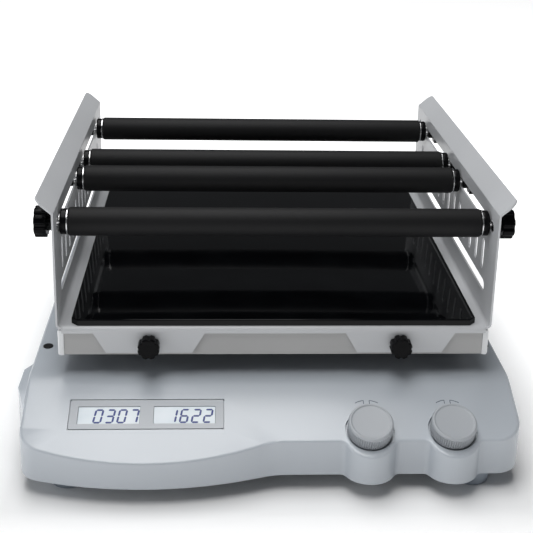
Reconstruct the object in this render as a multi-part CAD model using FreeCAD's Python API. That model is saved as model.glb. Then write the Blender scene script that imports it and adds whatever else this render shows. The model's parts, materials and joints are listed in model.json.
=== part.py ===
import FreeCAD, Part
import os
from math import atan2, asin, cos, degrees, pi, radians, sin, sqrt, tan

# Orbital shaker with a vessel carrier.  Millimetres, +Z up, the front faces -Y.
# The origin is on the table, in the middle of the footprint with its switch pod.  The model is
# built with X = 0 midway between the side walls and is moved to that origin as it is written.

V = FreeCAD.Vector
X_AXIS, Y_AXIS, Z_AXIS = V(1, 0, 0), V(0, 1, 0), V(0, 0, 1)

# ---------------------------------------------------------------- clearances
RUN = 0.04              # radial, a shaft turning in its bearing or bush
SEAT = 0.2              # round a fixed piece in its opening
GAP = 0.4               # between pieces that move past each other

# ---------------------------------------------------------------- base housing
BASE_W = 370.0          # left wall to right wall
BASE_D = 420.0          # tip of the front bulge to the rear wall
RIM_Z = 14.0            # lower rim above the table
DECK_Z = 65.0           # flat deck under the platform
HOUSING_WALL = 3.0
PANEL_ANGLE = 22.5      # slope of the control panel
PANEL_RUN = 55.5        # deck edge to the straight front wall, in plan
RIDGE_R = 40.0          # soft bend between deck and panel
BULGE_OUT = 17.0        # how far the display bulge stands in front of the front wall
BULGE_HALF = 92.9       # half the bulge's chord; its left end lands on the left wall
BULGE_BLEND_R = 60.0    # hollow sweep from the bulge into the front wall
FRONT_CORNER_R = 20.0
REAR_CORNER_R = 16.0
BOSS_WIDER = 1.8        # half-round boss in front of each knob: its radius past the recess,
BOSS_FORWARD = 2.2      # and its axis in front of the knob's
BOSS_BLEND_R = 5.0
TOP_EDGE_R = 2.5        # soft edge all round the top
BOTTOM_T = 2.0          # steel bottom plate
BOTTOM_Z = 15.0         # its underside
SLOT_COUNT, SLOT_PITCH, SLOT_W, SLOT_L = 9, 14.0, 6.0, 35.0    # cooling slots in the bottom plate
VENT_REAR_IN = 25.0     # their rear ends inside the rear wall

POD_OUT = 7.0           # switch pod on the left wall
POD_FRONT_IN, POD_L = 29.0, 62.0        # its front end from the straight front wall, its length
POD_NOSE, POD_TAIL = 22.0, 12.0
POD_Z0, POD_Z1 = 21.0, 58.0
POD_SUNK = 3.0          # its top below the sloping panel
ROCKER_L, ROCKER_H = 19.0, 13.0
SWITCH_FLANGE = 2.0     # flange round the rocker opening
SWITCH_DEPTH = 18.0
SWITCH_RECESS = 3.4     # rocker opening below the pod's face
SWITCH_RIM, SWITCH_WELL = 1.4, 11.0     # thickness of that flange, depth of the rocker's well
LEAD_L, LEAD_W, LEAD_T, LEAD_AT = 6.0, 4.8, 0.8, 6.0   # its two contacts
ROCKER_PIN_R, ROCKER_PIN_IN = 1.2, 3.0
ROCKER_TILT = 8.0       # each way from level; it rests tilted to off
ROCKER_DEPTH, ROCKER_KEEL = 7.0, 3.0
ROCKER_PROUD, ROCKER_WAIST = 2.74, 0.9  # its two crests and its middle in front of the opening
ROCKER_END_GAP = 0.7

PILLAR_R = 5.0          # screw pillars inside the housing
PILLAR_INSET = 17.0
SCREW_R = 2.0
SCREW_HEAD_R = 3.6
SCREW_HEAD_H = 2.2
SCREW_L = 10.0          # one screw size throughout
PLUG_R = 4.0            # rubber plugs in the deck
PLUG_INSET = 8.0
PLUG_FRONT_IN, PLUG_REAR_IN = 104.5, 58.0  # from the straight front wall and the rear wall
PLUG_PROUD = 1.0
PLUG_STEM_R = 2.6

FOOT_R, FOOT_TIP_R = 15.5, 13.5
FOOT_INSET_X = 34.0
FOOT_FRONT_IN, FOOT_REAR_IN = 18.9, 30.0  # from the straight front wall and the rear wall
FOOT_STUD_R = 3.0
FOOT_STUD_L = 6.0

# ---------------------------------------------------------------- control panel
KNOB_IN = (114.0, 52.5)  # speed and time knobs from the right wall
KNOB_UP = 9.4           # knob centre up the slope from the front wall
KNOB_R = 16.6
KNOB_TAPER = 0.9        # its face smaller than its skirt, in radius
KNOB_H = 11.5
KNOB_RIBS = 64
KNOB_RIB = 0.45         # depth of the grip ribs
KNOB_DISH = 0.5
KNOB_CHAMFER = 1.7      # height of the bevel round its face
KNOB_LIP = 1.5          # width of the raised lip round the dish
KNOB_ROOF = 2.2         # above the end of the shaft's bore
KNOB_WELL = 6.9         # depth of the hollow in its lower face
STEM_UP = 4.4           # its stem above its lower face
RECESS_GAP = 1.6        # round the knob in the recess it sinks into
RECESS_DEPTH = 2.4
KNOB_PUSH = 1.0         # travel of the push switch
SHAFT_R = 3.0
SHAFT_FLAT = 1.0        # flat on the shaft that carries the knob round
BUSH_R = 4.5
BUSH_H = 5.0
ENCODER_S, ENCODER_H = 12.5, 6.5
BEZEL_IN, BEZEL_W = 91.7, 113.2         # bezel's centre from the left wall, and its width
BEZEL_UP, BEZEL_L = 24.7, 25.9
BEZEL_T = 2.0
BEZEL_FRAME = 4.6
BEZEL_R = 1.0
GROOVE = 0.7            # open joint round the bezel
LCD_PITCH = 55.7
LCD_W, LCD_L, LCD_T = 45.6, 15.5, 2.6
LCD_UP = 24.1
LCD_SUNK = 0.6          # glass below the bezel's face
BOARD_T = 1.6
BOARD_NOTCH = 2.0       # room round the screw pillar that passes it
BOARD_DEPTH = 12.0      # control board below the panel's face
BOARD_SPAN = (4.0, 38.0)                # its edges up the slope
BOARD_CHIPS = ((-120.0, 24.0, 40.0, 12.0, 5.0), (-65.0, 24.0, 40.0, 12.0, 5.0),
               (5.0, 22.0, 14.0, 14.0, 1.6), (30.0, 20.0, 9.0, 9.0, 1.2),
               (38.0, 32.0, 5.0, 3.0, 2.0))     # centre, size and height of its display drivers and chips

# ---------------------------------------------------------------- drive
DRIVE_BACK = 188.0      # drive axis in front of the rear wall
THROW = 5.0             # eccentric throw, a 10 mm orbit
PHASE = 60.0            # crank direction at rest, from +X
CHASSIS_SIDE, CHASSIS_REAR = 39.0, 42.0  # its edges inside the side walls and the rear wall
CHASSIS_D, CHASSIS_T, CHASSIS_CORNER_R = 292.0, 4.0, 12.0
CHASSIS_Z = 39.0
POST_R = 5.0
POST_INSET = 10.0
HUB_R, HUB_FLANGE_R, HUB_FLANGE_T = 22.0, 32.0, 4.0
HUB_Z0, HUB_Z1 = 29.0, 55.0
HUB_BOLT_R, MOTOR_BOLT_R = 27.0, 30.0
SHAFT_MAIN_R = 8.0
MAIN_BRG_R, MAIN_BRG_H = 16.0, 9.0
SEAL_DEPTH = 0.5        # a bearing's seals below its races
IDLER_SPAN = 230.0      # idler cranks, centre to centre
IDLER_R = 5.0
IDLER_BRG_R, IDLER_BRG_H = 11.0, 8.0
CUP_WALL = 3.0
CUP_H = 12.0            # bearing cups above the chassis plate
WEB_Z, WEB_T = 69.0, 5.0
WEB_MARGIN = 3.0
PIN_R = 6.0             # drive crank's upper pin
PULLEY_Z, PULLEY_H = 19.5, 8.0
DRIVEN_R, MOTOR_PULLEY_R = 45.0, 15.0
PULLEY_LIP = 1.6
LIGHTEN_COUNT, LIGHTEN_R, LIGHTEN_AT = 5, 9.0, 27.0     # round holes in the driven pulley's web
BELT_T, BELT_H = 1.6, 5.0
MOTOR_GAP = 105.0       # motor axis in front of the drive axis
MOTOR_R, MOTOR_H = 38.0, 16.0
MOTOR_SHAFT_R = 4.0
MOTOR_EDGE_R = 2.5
MOTOR_SHAFT_IN = 8.5    # how far the shaft reaches into the motor
WEIGHT_R, WEIGHT_T, WEIGHT_Z = 44.0, 4.5, 55.8
DECK_HOLE_MARGIN = 4.0

# ---------------------------------------------------------------- platform
TOP_Z = 105.0           # platform's top face
PLATFORM_W, PLATFORM_H = 319.4, 22.0
PLATFORM_GAP = 0.8      # between its front or rear face and the carrier's lip
PLATFORM_TOP_T = 3.0
PLATFORM_WALL = 2.5
TRIM_W, TRIM_DROP, TRIM_LOW, TRIM_R = 4.6, 2.0, 0.3, 1.8
BOSS_WALL = 3.5
PLATFORM_BRG_R, PLATFORM_BRG_H = 12.0, 9.0
BRG_SEAT_Z = 84.0

# ---------------------------------------------------------------- carrier
CARRIER_W, CARRIER_D = 330.0, 330.0
SHEET = 1.5
BEND_R = 4.0            # outer radius of the bends
FOLD_H = 92.2           # height of the flange fold
FLANGE = 16.4
FLANGE_ANGLE = 41.0
FLANGE_CORNER_R = 8.0
LIP = 5.0               # front and rear lips, top to bottom
TAB_X = 95.5
TAB_TOP, TAB_END = 85.0, 65.0
TAB_DROP = 19.7
BAR_H = 76.4            # bar axis above the carrier's underside
UPPER_SLOT, UPPER_END = 8.4, 13.0
LOWER_SLOT, LOWER_END, LOWER_H = 9.0, 26.0, 23.4
VENT_W, VENT_PITCH, VENT_COUNT = 7.0, 21.2, 13
VENT_H0, VENT_H1 = 34.6, 59.5
MAT_W, MAT_T, MAT_END, MAT_CHAMFER, MAT_EDGE_R = 308.0, 5.0, 3.0, 5.0, 1.0

BAR_AT = (26.7, 130.0, 178.1, 284.7)     # bar axes behind the carrier's front edge
ROD_R, ROD_CORE_R = 3.0, 6.5
SLEEVE_R, SLEEVE_GAP, SLEEVE_ROUND = 10.9, 1.2, 1.6
COLLAR_R, COLLAR_T, COLLAR_OFF, COLLAR_EDGE_R = 9.8, 5.0, 1.4, 0.9
SHOULDER_R, SHOULDER_T = 10.2, 0.9       # bright shoulder ring between collar and sleeve
STAR_R, STAR_T, STAR_LOBES = 12.0, 9.4, 8
STAR_HUB_R, STAR_HUB_L = 7.0, 6.2
ROD_IN_STAR = 10.0
THUMB_R, THUMB_T, THUMB_LOBES = 8.3, 9.0, 8
THUMB_STUD_R, THUMB_STUD_L = 2.5, 9.0
THUMB_DROP = 12.5

# ---------------------------------------------------------------- rear and inside
INLET_SIDE, INLET_Z = 65.0, 37.0         # its centre from the right wall, and above the table
INLET_W, INLET_H, INLET_DEPTH = 48.0, 27.4, 22.0
INLET_FLANGE, INLET_FLANGE_T, INLET_R = 4.0, 2.6, 2.0
SOCKET_W, SOCKET_H, SOCKET_DEPTH, SOCKET_CHAMFER = 24.2, 16.2, 16.0, 4.0
BLADE_T, BLADE_W, BLADE_IN = 2.0, 4.0, 4.0      # the three contact blades
BLADE_PITCH, BLADE_STEP = 7.0, 1.75
FUSE_W, FUSE_H, FUSE_DEPTH, FUSE_PROUD = 22.0, 6.0, 15.0, 0.8
FUSE_SIDE, FUSE_NOTCH = 7.5, 2.4
SUPPLY_SIDE, SUPPLY_W, SUPPLY_D = 30.0, 110.0, 50.0    # its right edge from the right wall, its size
STANDOFF, STANDOFF_R, STANDOFF_IN = 6.0, 3.0, 5.0
SUPPLY_BLOCKS = ((0.0, 10.0, 28.0, 24.0, 13.0), (-34.0, 17.5, 24.0, 3.0, 12.0),
                 (-40.0, -7.0, 12.0, 10.0, 8.0))    # transformer, heat sink, terminal block
CAPACITORS = ((26.0, 12.0), (40.0, 12.0))
CAPACITOR_R, CAPACITOR_H = 6.0, 12.0


# ================================================================ derived places
FRONT_Y = -BASE_D / 2 + BULGE_OUT
DRIVE_Y = BASE_D / 2 - DRIVE_BACK
CHASSIS_W = BASE_W - 2 * CHASSIS_SIDE
CHASSIS_Y = BASE_D / 2 - CHASSIS_REAR - CHASSIS_D / 2
BULGE_R = (BULGE_HALF ** 2 + BULGE_OUT ** 2) / (2 * BULGE_OUT)
BULGE_X = -BASE_W / 2 + BULGE_HALF - 1.0
KNOB_X = [BASE_W / 2 - d for d in KNOB_IN]
KNOB_TOP_R = KNOB_R - KNOB_TAPER
RECESS_R = KNOB_R + RECESS_GAP
BOSS_R = RECESS_R + BOSS_WIDER
BEZEL_X = -BASE_W / 2 + BEZEL_IN
LCD_X = [BEZEL_X + s * LCD_PITCH / 2 for s in (-1, 1)]
INLET_X = BASE_W / 2 - INLET_SIDE
PANEL_Z = DECK_Z - PANEL_RUN * tan(radians(PANEL_ANGLE))
PIN_DX, PIN_DY = THROW * cos(radians(PHASE)), THROW * sin(radians(PHASE))
PX, PY = PIN_DX, DRIVE_Y + PIN_DY        # platform's centre at rest
CARRIER_FRONT = PY - CARRIER_D / 2
CHASSIS_TOP = CHASSIS_Z + CHASSIS_T
PLATFORM_D = CARRIER_D - 2 * (SHEET + PLATFORM_GAP)
SUPPLY_X = BASE_W / 2 - SUPPLY_SIDE - SUPPLY_W / 2
SUPPLY_Y = CHASSIS_Y - CHASSIS_D / 2 + POST_INSET - POST_R - STANDOFF_R - SUPPLY_D / 2
IDLERS = {side + "_" + end: (sx * IDLER_SPAN / 2, DRIVE_Y + sy * IDLER_SPAN / 2)
          for end, sy in (("front", -1), ("rear", 1))
          for side, sx in (("left", -1), ("right", 1))}


# ================================================================ shared shapes
def on_circle(x, y, radius, count=4):
    """Places on a bolt circle, the first at 45 degrees."""
    steps = [pi / 4 + 2 * pi * k / count for k in range(count)]
    return [(x + radius * cos(a), y + radius * sin(a)) for a in steps]


def block(x0, x1, y0, y1, z0, z1):
    return Part.makeBox(x1 - x0, y1 - y0, z1 - z0, V(x0, y0, z0))


def disc(x, y, z0, z1, r):
    return Part.makeCylinder(r, z1 - z0, V(x, y, z0), Z_AXIS)


def rod(x0, x1, y, z, r):
    return Part.makeCylinder(r, x1 - x0, V(x0, y, z), X_AXIS)


def prism(points, depth):
    """Closed polygon pushed along one vector."""
    wire = Part.makePolygon([V(*p) for p in points] + [V(*points[0])])
    return Part.Face(wire).extrude(V(*depth))


def fuse(shapes):
    first, rest = shapes[0], shapes[1:]
    return first.fuse(rest).removeSplitter() if rest else first


def edges_where(shape, test):
    return [e for e in shape.Edges if test(e)]


def upright(edge):
    box = edge.BoundBox
    return box.XLength < 1e-6 and box.YLength < 1e-6


def rounded_block(x0, x1, y0, y1, z0, z1, r):
    body = block(x0, x1, y0, y1, z0, z1)
    return body.makeFillet(r, edges_where(body, upright))


def slot_along_y(x0, x1, y0, y1, z, width):
    """Long hole with round ends, through a side plate."""
    r = width / 2
    return fuse([block(x0, x1, y0 + r, y1 - r, z - r, z + r),
                 rod(x0, x1, y0 + r, z, r), rod(x0, x1, y1 - r, z, r)])


def on_panel(shape, x, up):
    """Set a shape made on the XY plane onto the sloping panel, its +Z pointing out."""
    turn = FreeCAD.Rotation(X_AXIS, PANEL_ANGLE)
    base = V(x, FRONT_Y, PANEL_Z) + turn.multVec(V(0, up, 0))
    placed = shape.copy()
    placed.Placement = FreeCAD.Placement(base, turn)
    return placed


def lobed(radius, thickness, lobes, notch):
    """Grip head: a disc with round notches, its edges softened, standing on the XY plane."""
    head = disc(0, 0, 0, thickness, radius)
    cuts = [disc((radius + notch * 0.45) * cos(2 * pi * k / lobes),
                 (radius + notch * 0.45) * sin(2 * pi * k / lobes), -1, thickness + 1, notch)
            for k in range(lobes)]
    head = head.cut(fuse(cuts))
    rims = edges_where(head, lambda e: e.BoundBox.ZLength < 1e-6
                       and abs(e.BoundBox.ZMin - thickness) < 1e-6)
    return head.makeFillet(radius / 14, rims)


def aim(shape, place, direction):
    """Move a shape made along +Z to a place, pointing along a direction."""
    placed = shape.copy()
    placed.Placement = FreeCAD.Placement(place, FreeCAD.Rotation(Z_AXIS, direction))
    return placed


def screw(x, y, z, shank=1):
    """Pan-head screw with a hex socket; its head rests on z, the shank runs up (1) or down (-1)."""
    head = Part.makeCylinder(SCREW_HEAD_R, SCREW_HEAD_H, V(0, 0, -SCREW_HEAD_H), Z_AXIS)
    head = head.makeFillet(SCREW_HEAD_H / 3, edges_where(
        head, lambda e: e.BoundBox.ZLength < 1e-6 and e.BoundBox.ZMin < -SCREW_HEAD_H / 2))
    key = SCREW_R * 0.6
    hexagon = [(key * cos(pi * k / 3), key * sin(pi * k / 3), -SCREW_HEAD_H) for k in range(6)]
    body = head.cut(prism(hexagon, (0, 0, SCREW_HEAD_H * 0.55)))
    body = body.fuse(Part.makeCylinder(SCREW_R, SCREW_L, V(0, 0, 0), Z_AXIS))
    return aim(body, V(x, y, z), V(0, 0, shank))


def ring(x, y, z0, z1, outer, inner):
    return disc(x, y, z0, z1, outer).cut(disc(x, y, z0 - 1, z1 + 1, inner))


def bearing(x, y, z0, height, outer, bore):
    """Sealed ball bearing, its seals set back between the two races."""
    body = ring(x, y, z0, z0 + height, outer, bore)
    race = (outer - bore) * 0.26
    z1 = z0 + height
    seals = [ring(x, y, low, high, outer - race, bore + race)
             for low, high in ((z0 - 1, z0 + SEAL_DEPTH), (z1 - SEAL_DEPTH, z1 + 1))]
    return body.cut(seals)


# ================================================================ base housing
def outline(inset):
    """Plan outline of the housing: a rectangle with the display bulge and two knob bosses."""
    half, rear = BASE_W / 2 - inset, BASE_D / 2 - inset
    front = FRONT_Y + inset
    body = block(-half, half, front, rear, 0, DECK_Z)
    bulge = disc(BULGE_X, -BASE_D / 2 + BULGE_R, 0, DECK_Z, BULGE_R - inset)
    body = body.fuse(bulge.common(block(-half, half, -BASE_D, front + 1, 0, DECK_Z)))
    for x in KNOB_X:
        body = body.fuse(disc(x, boss_y(), 0, DECK_Z, BOSS_R - inset))
    body = body.removeSplitter()

    def near(x, y):
        return lambda e: upright(e) and abs(e.BoundBox.XMin - x) < 1 and abs(e.BoundBox.YMin - y) < 1

    def bulge_y(x):
        return -BASE_D / 2 + BULGE_R - sqrt((BULGE_R - inset) ** 2 - (x - BULGE_X) ** 2)

    reach = sqrt((BULGE_R - inset) ** 2 - (BULGE_R - BULGE_OUT - inset) ** 2)
    body = body.makeFillet(REAR_CORNER_R - inset, edges_where(
        body, lambda e: upright(e) and e.BoundBox.YMin > rear - 1))
    body = body.makeFillet(FRONT_CORNER_R - inset, edges_where(body, near(half, front)))
    body = body.makeFillet(FRONT_CORNER_R - inset, edges_where(body, near(-half, bulge_y(-half))))
    body = body.makeFillet(BULGE_BLEND_R + inset, edges_where(body, near(BULGE_X + reach, front)))
    side = sqrt((BOSS_R - inset) ** 2 - (front - boss_y()) ** 2)
    for x in KNOB_X:
        body = body.makeFillet(BOSS_BLEND_R + inset, edges_where(
            body, lambda e: near(x - side, front)(e) or near(x + side, front)(e)))
    return body


def boss_y():
    return FRONT_Y + KNOB_UP * cos(radians(PANEL_ANGLE)) - BOSS_FORWARD


def side_profile(inset, bottom):
    """Side view of the housing: flat deck, soft ridge, sloping panel; pushed across the width."""
    a = radians(PANEL_ANGLE)
    ridge_y = FRONT_Y + PANEL_RUN
    reach = RIDGE_R * tan(a / 2)
    r = RIDGE_R - inset
    cy, cz = ridge_y + reach, DECK_Z - RIDGE_R
    start = V(-BASE_W, cy, cz + r)
    mid = V(-BASE_W, cy - r * sin(a / 2), cz + r * cos(a / 2))
    end = V(-BASE_W, cy - r * sin(a), cz + r * cos(a))
    far = BASE_D
    low = end + V(0, -far * cos(a), -far * sin(a))
    edges = [Part.LineSegment(V(-BASE_W, far, cz + r), start).toShape(),
             Part.Arc(start, mid, end).toShape(),
             Part.LineSegment(end, low).toShape(),
             Part.LineSegment(low, V(-BASE_W, low.y, bottom - far)).toShape(),
             Part.LineSegment(V(-BASE_W, low.y, bottom - far), V(-BASE_W, far, bottom - far)).toShape(),
             Part.LineSegment(V(-BASE_W, far, bottom - far), V(-BASE_W, far, cz + r)).toShape()]
    return Part.Face(Part.Wire(edges)).extrude(V(2 * BASE_W, 0, 0))


def housing_blank(inset, bottom):
    body = outline(inset).common(side_profile(inset, bottom))
    return body.common(block(-BASE_W, BASE_W, -BASE_D, BASE_D, bottom, DECK_Z + 1)).removeSplitter()


def top_rim(shape):
    """The edges where the housing's walls meet its top, without the bend lines across it."""
    def across(e):
        box = e.BoundBox
        return box.YLength < 1e-6 and box.ZLength < 1e-6 and abs(box.YMin - BASE_D / 2) > 1 \
            and box.XLength > BASE_W * 0.7

    return edges_where(shape, lambda e: not upright(e) and e.BoundBox.ZMin > RIM_Z + 1 and not across(e))


def pod(inset):
    """Switch pod on the left wall, a tapered block in plan, its top sloping with the panel."""
    wall = -BASE_W / 2
    inner = wall + REAR_CORNER_R
    out = wall - POD_OUT + inset
    y0, y1 = FRONT_Y + POD_FRONT_IN + inset, FRONT_Y + POD_FRONT_IN + POD_L - inset
    plan = [(inner, y0, POD_Z0 + inset), (wall, y0, POD_Z0 + inset),
            (out, y0 + POD_NOSE, POD_Z0 + inset), (out, y1 - POD_TAIL, POD_Z0 + inset),
            (wall, y1, POD_Z0 + inset), (inner, y1, POD_Z0 + inset)]
    body = prism(plan, (0, 0, POD_Z1 - POD_Z0 - 2 * inset))
    return body.common(side_profile(POD_SUNK + inset, RIM_Z))


def pillar_places():
    x, y = BASE_W / 2 - PILLAR_INSET, BASE_D / 2 - PILLAR_INSET
    front = FRONT_Y + PILLAR_INSET
    return [(-x, y), (x, y), (-x, 0.0), (x, 0.0), (0.0, y), (0.0, front)]


def rocker_centre():
    front = FRONT_Y + POD_FRONT_IN
    return V(-BASE_W / 2 - POD_OUT + SWITCH_RECESS, front + (POD_NOSE + POD_L - POD_TAIL) / 2,
             (POD_Z0 + POD_Z1) / 2)


def base_housing():
    shell = housing_blank(0, RIM_Z)
    shell = shell.makeFillet(TOP_EDGE_R, top_rim(shell))
    shell = shell.fuse(pod(0))
    inner = housing_blank(HOUSING_WALL, RIM_Z - 1)
    inner = inner.fuse(pod(HOUSING_WALL))
    pillars = []
    for x, y in pillar_places():
        pillars.append(disc(x, y, BOTTOM_Z + BOTTOM_T, DECK_Z - 1, PILLAR_R))
    keep = housing_blank(HOUSING_WALL / 2, RIM_Z)
    shell = shell.cut(inner).fuse([p.common(keep) for p in pillars])
    for x, y in pillar_places():
        shell = shell.cut(disc(x, y, 0, BOTTOM_Z + BOTTOM_T + SCREW_L, SCREW_R))
    for x in KNOB_X:
        collar = disc(0, 0, -RECESS_DEPTH - HOUSING_WALL, -HOUSING_WALL / 2, RECESS_R + HOUSING_WALL)
        shell = shell.fuse(on_panel(collar, x, KNOB_UP).common(keep))
        shell = shell.cut(on_panel(disc(0, 0, -RECESS_DEPTH, 20, RECESS_R), x, KNOB_UP))
        shell = shell.cut(on_panel(disc(0, 0, -20, 1, BUSH_R + SEAT), x, KNOB_UP))
    w, l = BEZEL_W / 2 + GROOVE, BEZEL_L / 2 + GROOVE
    shell = shell.cut(on_panel(block(-w, w, -l, l, -BEZEL_T, 20), BEZEL_X, BEZEL_UP))
    for x in LCD_X:
        w, l = LCD_W / 2 + SEAT, LCD_L / 2 + SEAT
        shell = shell.cut(on_panel(block(-w, w, -l, l, -20, 1), x, LCD_UP))
    for x, y in plug_places():
        shell = shell.cut(disc(x, y, DECK_Z - 20, DECK_Z + 1, PLUG_STEM_R))
    shell = shell.cut(disc(0, DRIVE_Y, DECK_Z - 20, DECK_Z + 1, SHAFT_MAIN_R + DECK_HOLE_MARGIN))
    for x, y in IDLERS.values():
        shell = shell.cut(disc(x, y, DECK_Z - 20, DECK_Z + 1, IDLER_R + DECK_HOLE_MARGIN))
    c = rocker_centre()
    l, h = ROCKER_L / 2 + SWITCH_FLANGE, ROCKER_H / 2 + SWITCH_FLANGE
    shell = shell.cut(block(c.x - POD_OUT, c.x + SWITCH_DEPTH, c.y - l, c.y + l, c.z - h, c.z + h))
    w, h = INLET_W / 2 + SEAT, INLET_H / 2 + SEAT
    rear = BASE_D / 2
    shell = shell.cut(block(INLET_X - w, INLET_X + w, rear - 20, rear + 1, INLET_Z - h, INLET_Z + h))
    return {"base_housing": shell.removeSplitter()}


def plug_places():
    ends = (FRONT_Y + PLUG_FRONT_IN, BASE_D / 2 - PLUG_REAR_IN)
    return [(s * (BASE_W / 2 - PLUG_INSET), y) for s in (-1, 1) for y in ends]


def feet_places():
    ends = (FRONT_Y + FOOT_FRONT_IN, BASE_D / 2 - FOOT_REAR_IN)
    return [(s * (BASE_W / 2 - FOOT_INSET_X), y) for s in (-1, 1) for y in ends]


def post_places():
    x, y = CHASSIS_W / 2 - POST_INSET, CHASSIS_D / 2 - POST_INSET
    return [(sx * x, CHASSIS_Y + sy * y) for sx in (-1, 1) for sy in (-1, 1)]


def bottom_plate():
    lip = HOUSING_WALL + SEAT + 0.3
    plate = outline(lip).common(block(-BASE_W, BASE_W, -BASE_D, BASE_D, BOTTOM_Z, BOTTOM_Z + BOTTOM_T))
    for x, y in pillar_places() + post_places():
        plate = plate.cut(disc(x, y, 0, 20, SCREW_R))
    for x, y in feet_places():
        plate = plate.cut(disc(x, y, 0, 20, FOOT_STUD_R))
    rear = BASE_D / 2 - VENT_REAR_IN
    for k in range(SLOT_COUNT):
        x = (k - (SLOT_COUNT - 1) / 2) * SLOT_PITCH
        plate = plate.cut(rounded_block(x - SLOT_W / 2, x + SLOT_W / 2, rear - SLOT_L, rear,
                                        0, DECK_Z, SLOT_W * 0.48))
    return {"bottom_plate": plate}


def feet():
    group = []
    for x, y in feet_places():
        pad = Part.makeCone(FOOT_TIP_R, FOOT_R, BOTTOM_Z, V(x, y, 0), Z_AXIS)
        pad = pad.makeFillet(0.8, edges_where(pad, lambda e: e.BoundBox.ZMax < 1e-6))
        group.append(pad.fuse(disc(x, y, BOTTOM_Z - 1, BOTTOM_Z + FOOT_STUD_L, FOOT_STUD_R)))
    return {"rubber_feet": Part.makeCompound(group)}


def screws():
    """Screws of one size: bottom plate, chassis posts, bearing hub and motor."""
    motor_y = DRIVE_Y - MOTOR_GAP
    made = [screw(x, y, BOTTOM_Z) for x, y in pillar_places() + post_places()]
    made += [screw(x, y, CHASSIS_TOP, -1) for x, y in post_places()]
    made += [screw(x, y, CHASSIS_TOP + HUB_FLANGE_T, -1) for x, y in on_circle(0, DRIVE_Y, HUB_BOLT_R)]
    made += [screw(x, y, CHASSIS_Z) for x, y in on_circle(0, motor_y, MOTOR_BOLT_R)]
    return {"screws": Part.makeCompound(made)}


def deck_plugs():
    group = []
    for x, y in plug_places():
        head = disc(x, y, DECK_Z, DECK_Z + PLUG_PROUD, PLUG_R)
        head = head.makeFillet(PLUG_PROUD * 0.6, edges_where(
            head, lambda e: e.BoundBox.ZMin > DECK_Z + PLUG_PROUD / 2))
        group.append(head.fuse(disc(x, y, DECK_Z - HOUSING_WALL - 1, DECK_Z, PLUG_STEM_R)))
    return {"deck_plugs": Part.makeCompound(group)}


# ================================================================ control panel
def control_knob(x):
    """Ribbed round knob with a shallow dished face, on the sloping panel."""
    floor = -RECESS_DEPTH + KNOB_PUSH + GAP
    top = floor + KNOB_H
    bevel = (KNOB_R + KNOB_TOP_R) / 2
    lip = KNOB_TOP_R - KNOB_LIP
    profile = [(0, 0, floor), (KNOB_R, 0, floor), (KNOB_R, 0, top - KNOB_CHAMFER),
               (bevel, 0, top - KNOB_CHAMFER * 0.3), (KNOB_TOP_R, 0, top), (lip + KNOB_DISH, 0, top),
               (lip, 0, top - KNOB_DISH), (0, 0, top - KNOB_DISH)]
    wire = Part.makePolygon([V(*p) for p in profile] + [V(*profile[0])])
    body = Part.Face(wire).revolve(V(0, 0, 0), Z_AXIS, 360)
    ribs = []
    for k in range(KNOB_RIBS):
        a = 2 * pi * k / KNOB_RIBS
        r = KNOB_R + KNOB_RIB * 0.35
        ribs.append(disc(r * cos(a), r * sin(a), floor + KNOB_RIB, top - KNOB_CHAMFER - KNOB_RIB, KNOB_RIB))
    body = body.cut(ribs)
    well = disc(0, 0, floor - 1, floor + KNOB_WELL, BUSH_R + 2.0)
    stem = disc(0, 0, floor + STEM_UP, floor + KNOB_WELL + 0.5, BUSH_R + 1.0)
    body = body.cut(well).fuse(stem).removeSplitter()
    bore = disc(0, 0, floor - 1, top - KNOB_ROOF, SHAFT_R + RUN)
    flat = block(-9, 9, SHAFT_R - SHAFT_FLAT + RUN, 9, -20, 20)
    return on_panel(body.cut(bore.cut(flat)), x, KNOB_UP)


def knob_shaft(x):
    floor = -RECESS_DEPTH + KNOB_PUSH + GAP
    top = floor + KNOB_H - KNOB_ROOF - KNOB_PUSH - GAP
    bottom = -BOARD_DEPTH + 1.0
    body = disc(0, 0, bottom, top, SHAFT_R)
    flat_z = floor + STEM_UP - KNOB_PUSH - GAP
    body = body.cut(block(-9, 9, SHAFT_R - SHAFT_FLAT, 9, flat_z, 20))
    return on_panel(body, x, KNOB_UP)


def encoder(x):
    low, high = -BOARD_DEPTH, -BOARD_DEPTH + ENCODER_H
    s = ENCODER_S / 2
    body = block(-s, s, -s, s, low, high).fuse(disc(0, 0, high - 1, high + BUSH_H + 1, BUSH_R))
    body = body.cut(disc(0, 0, low + 0.6, 20, SHAFT_R + RUN))
    return on_panel(body.removeSplitter(), x, KNOB_UP)


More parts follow.
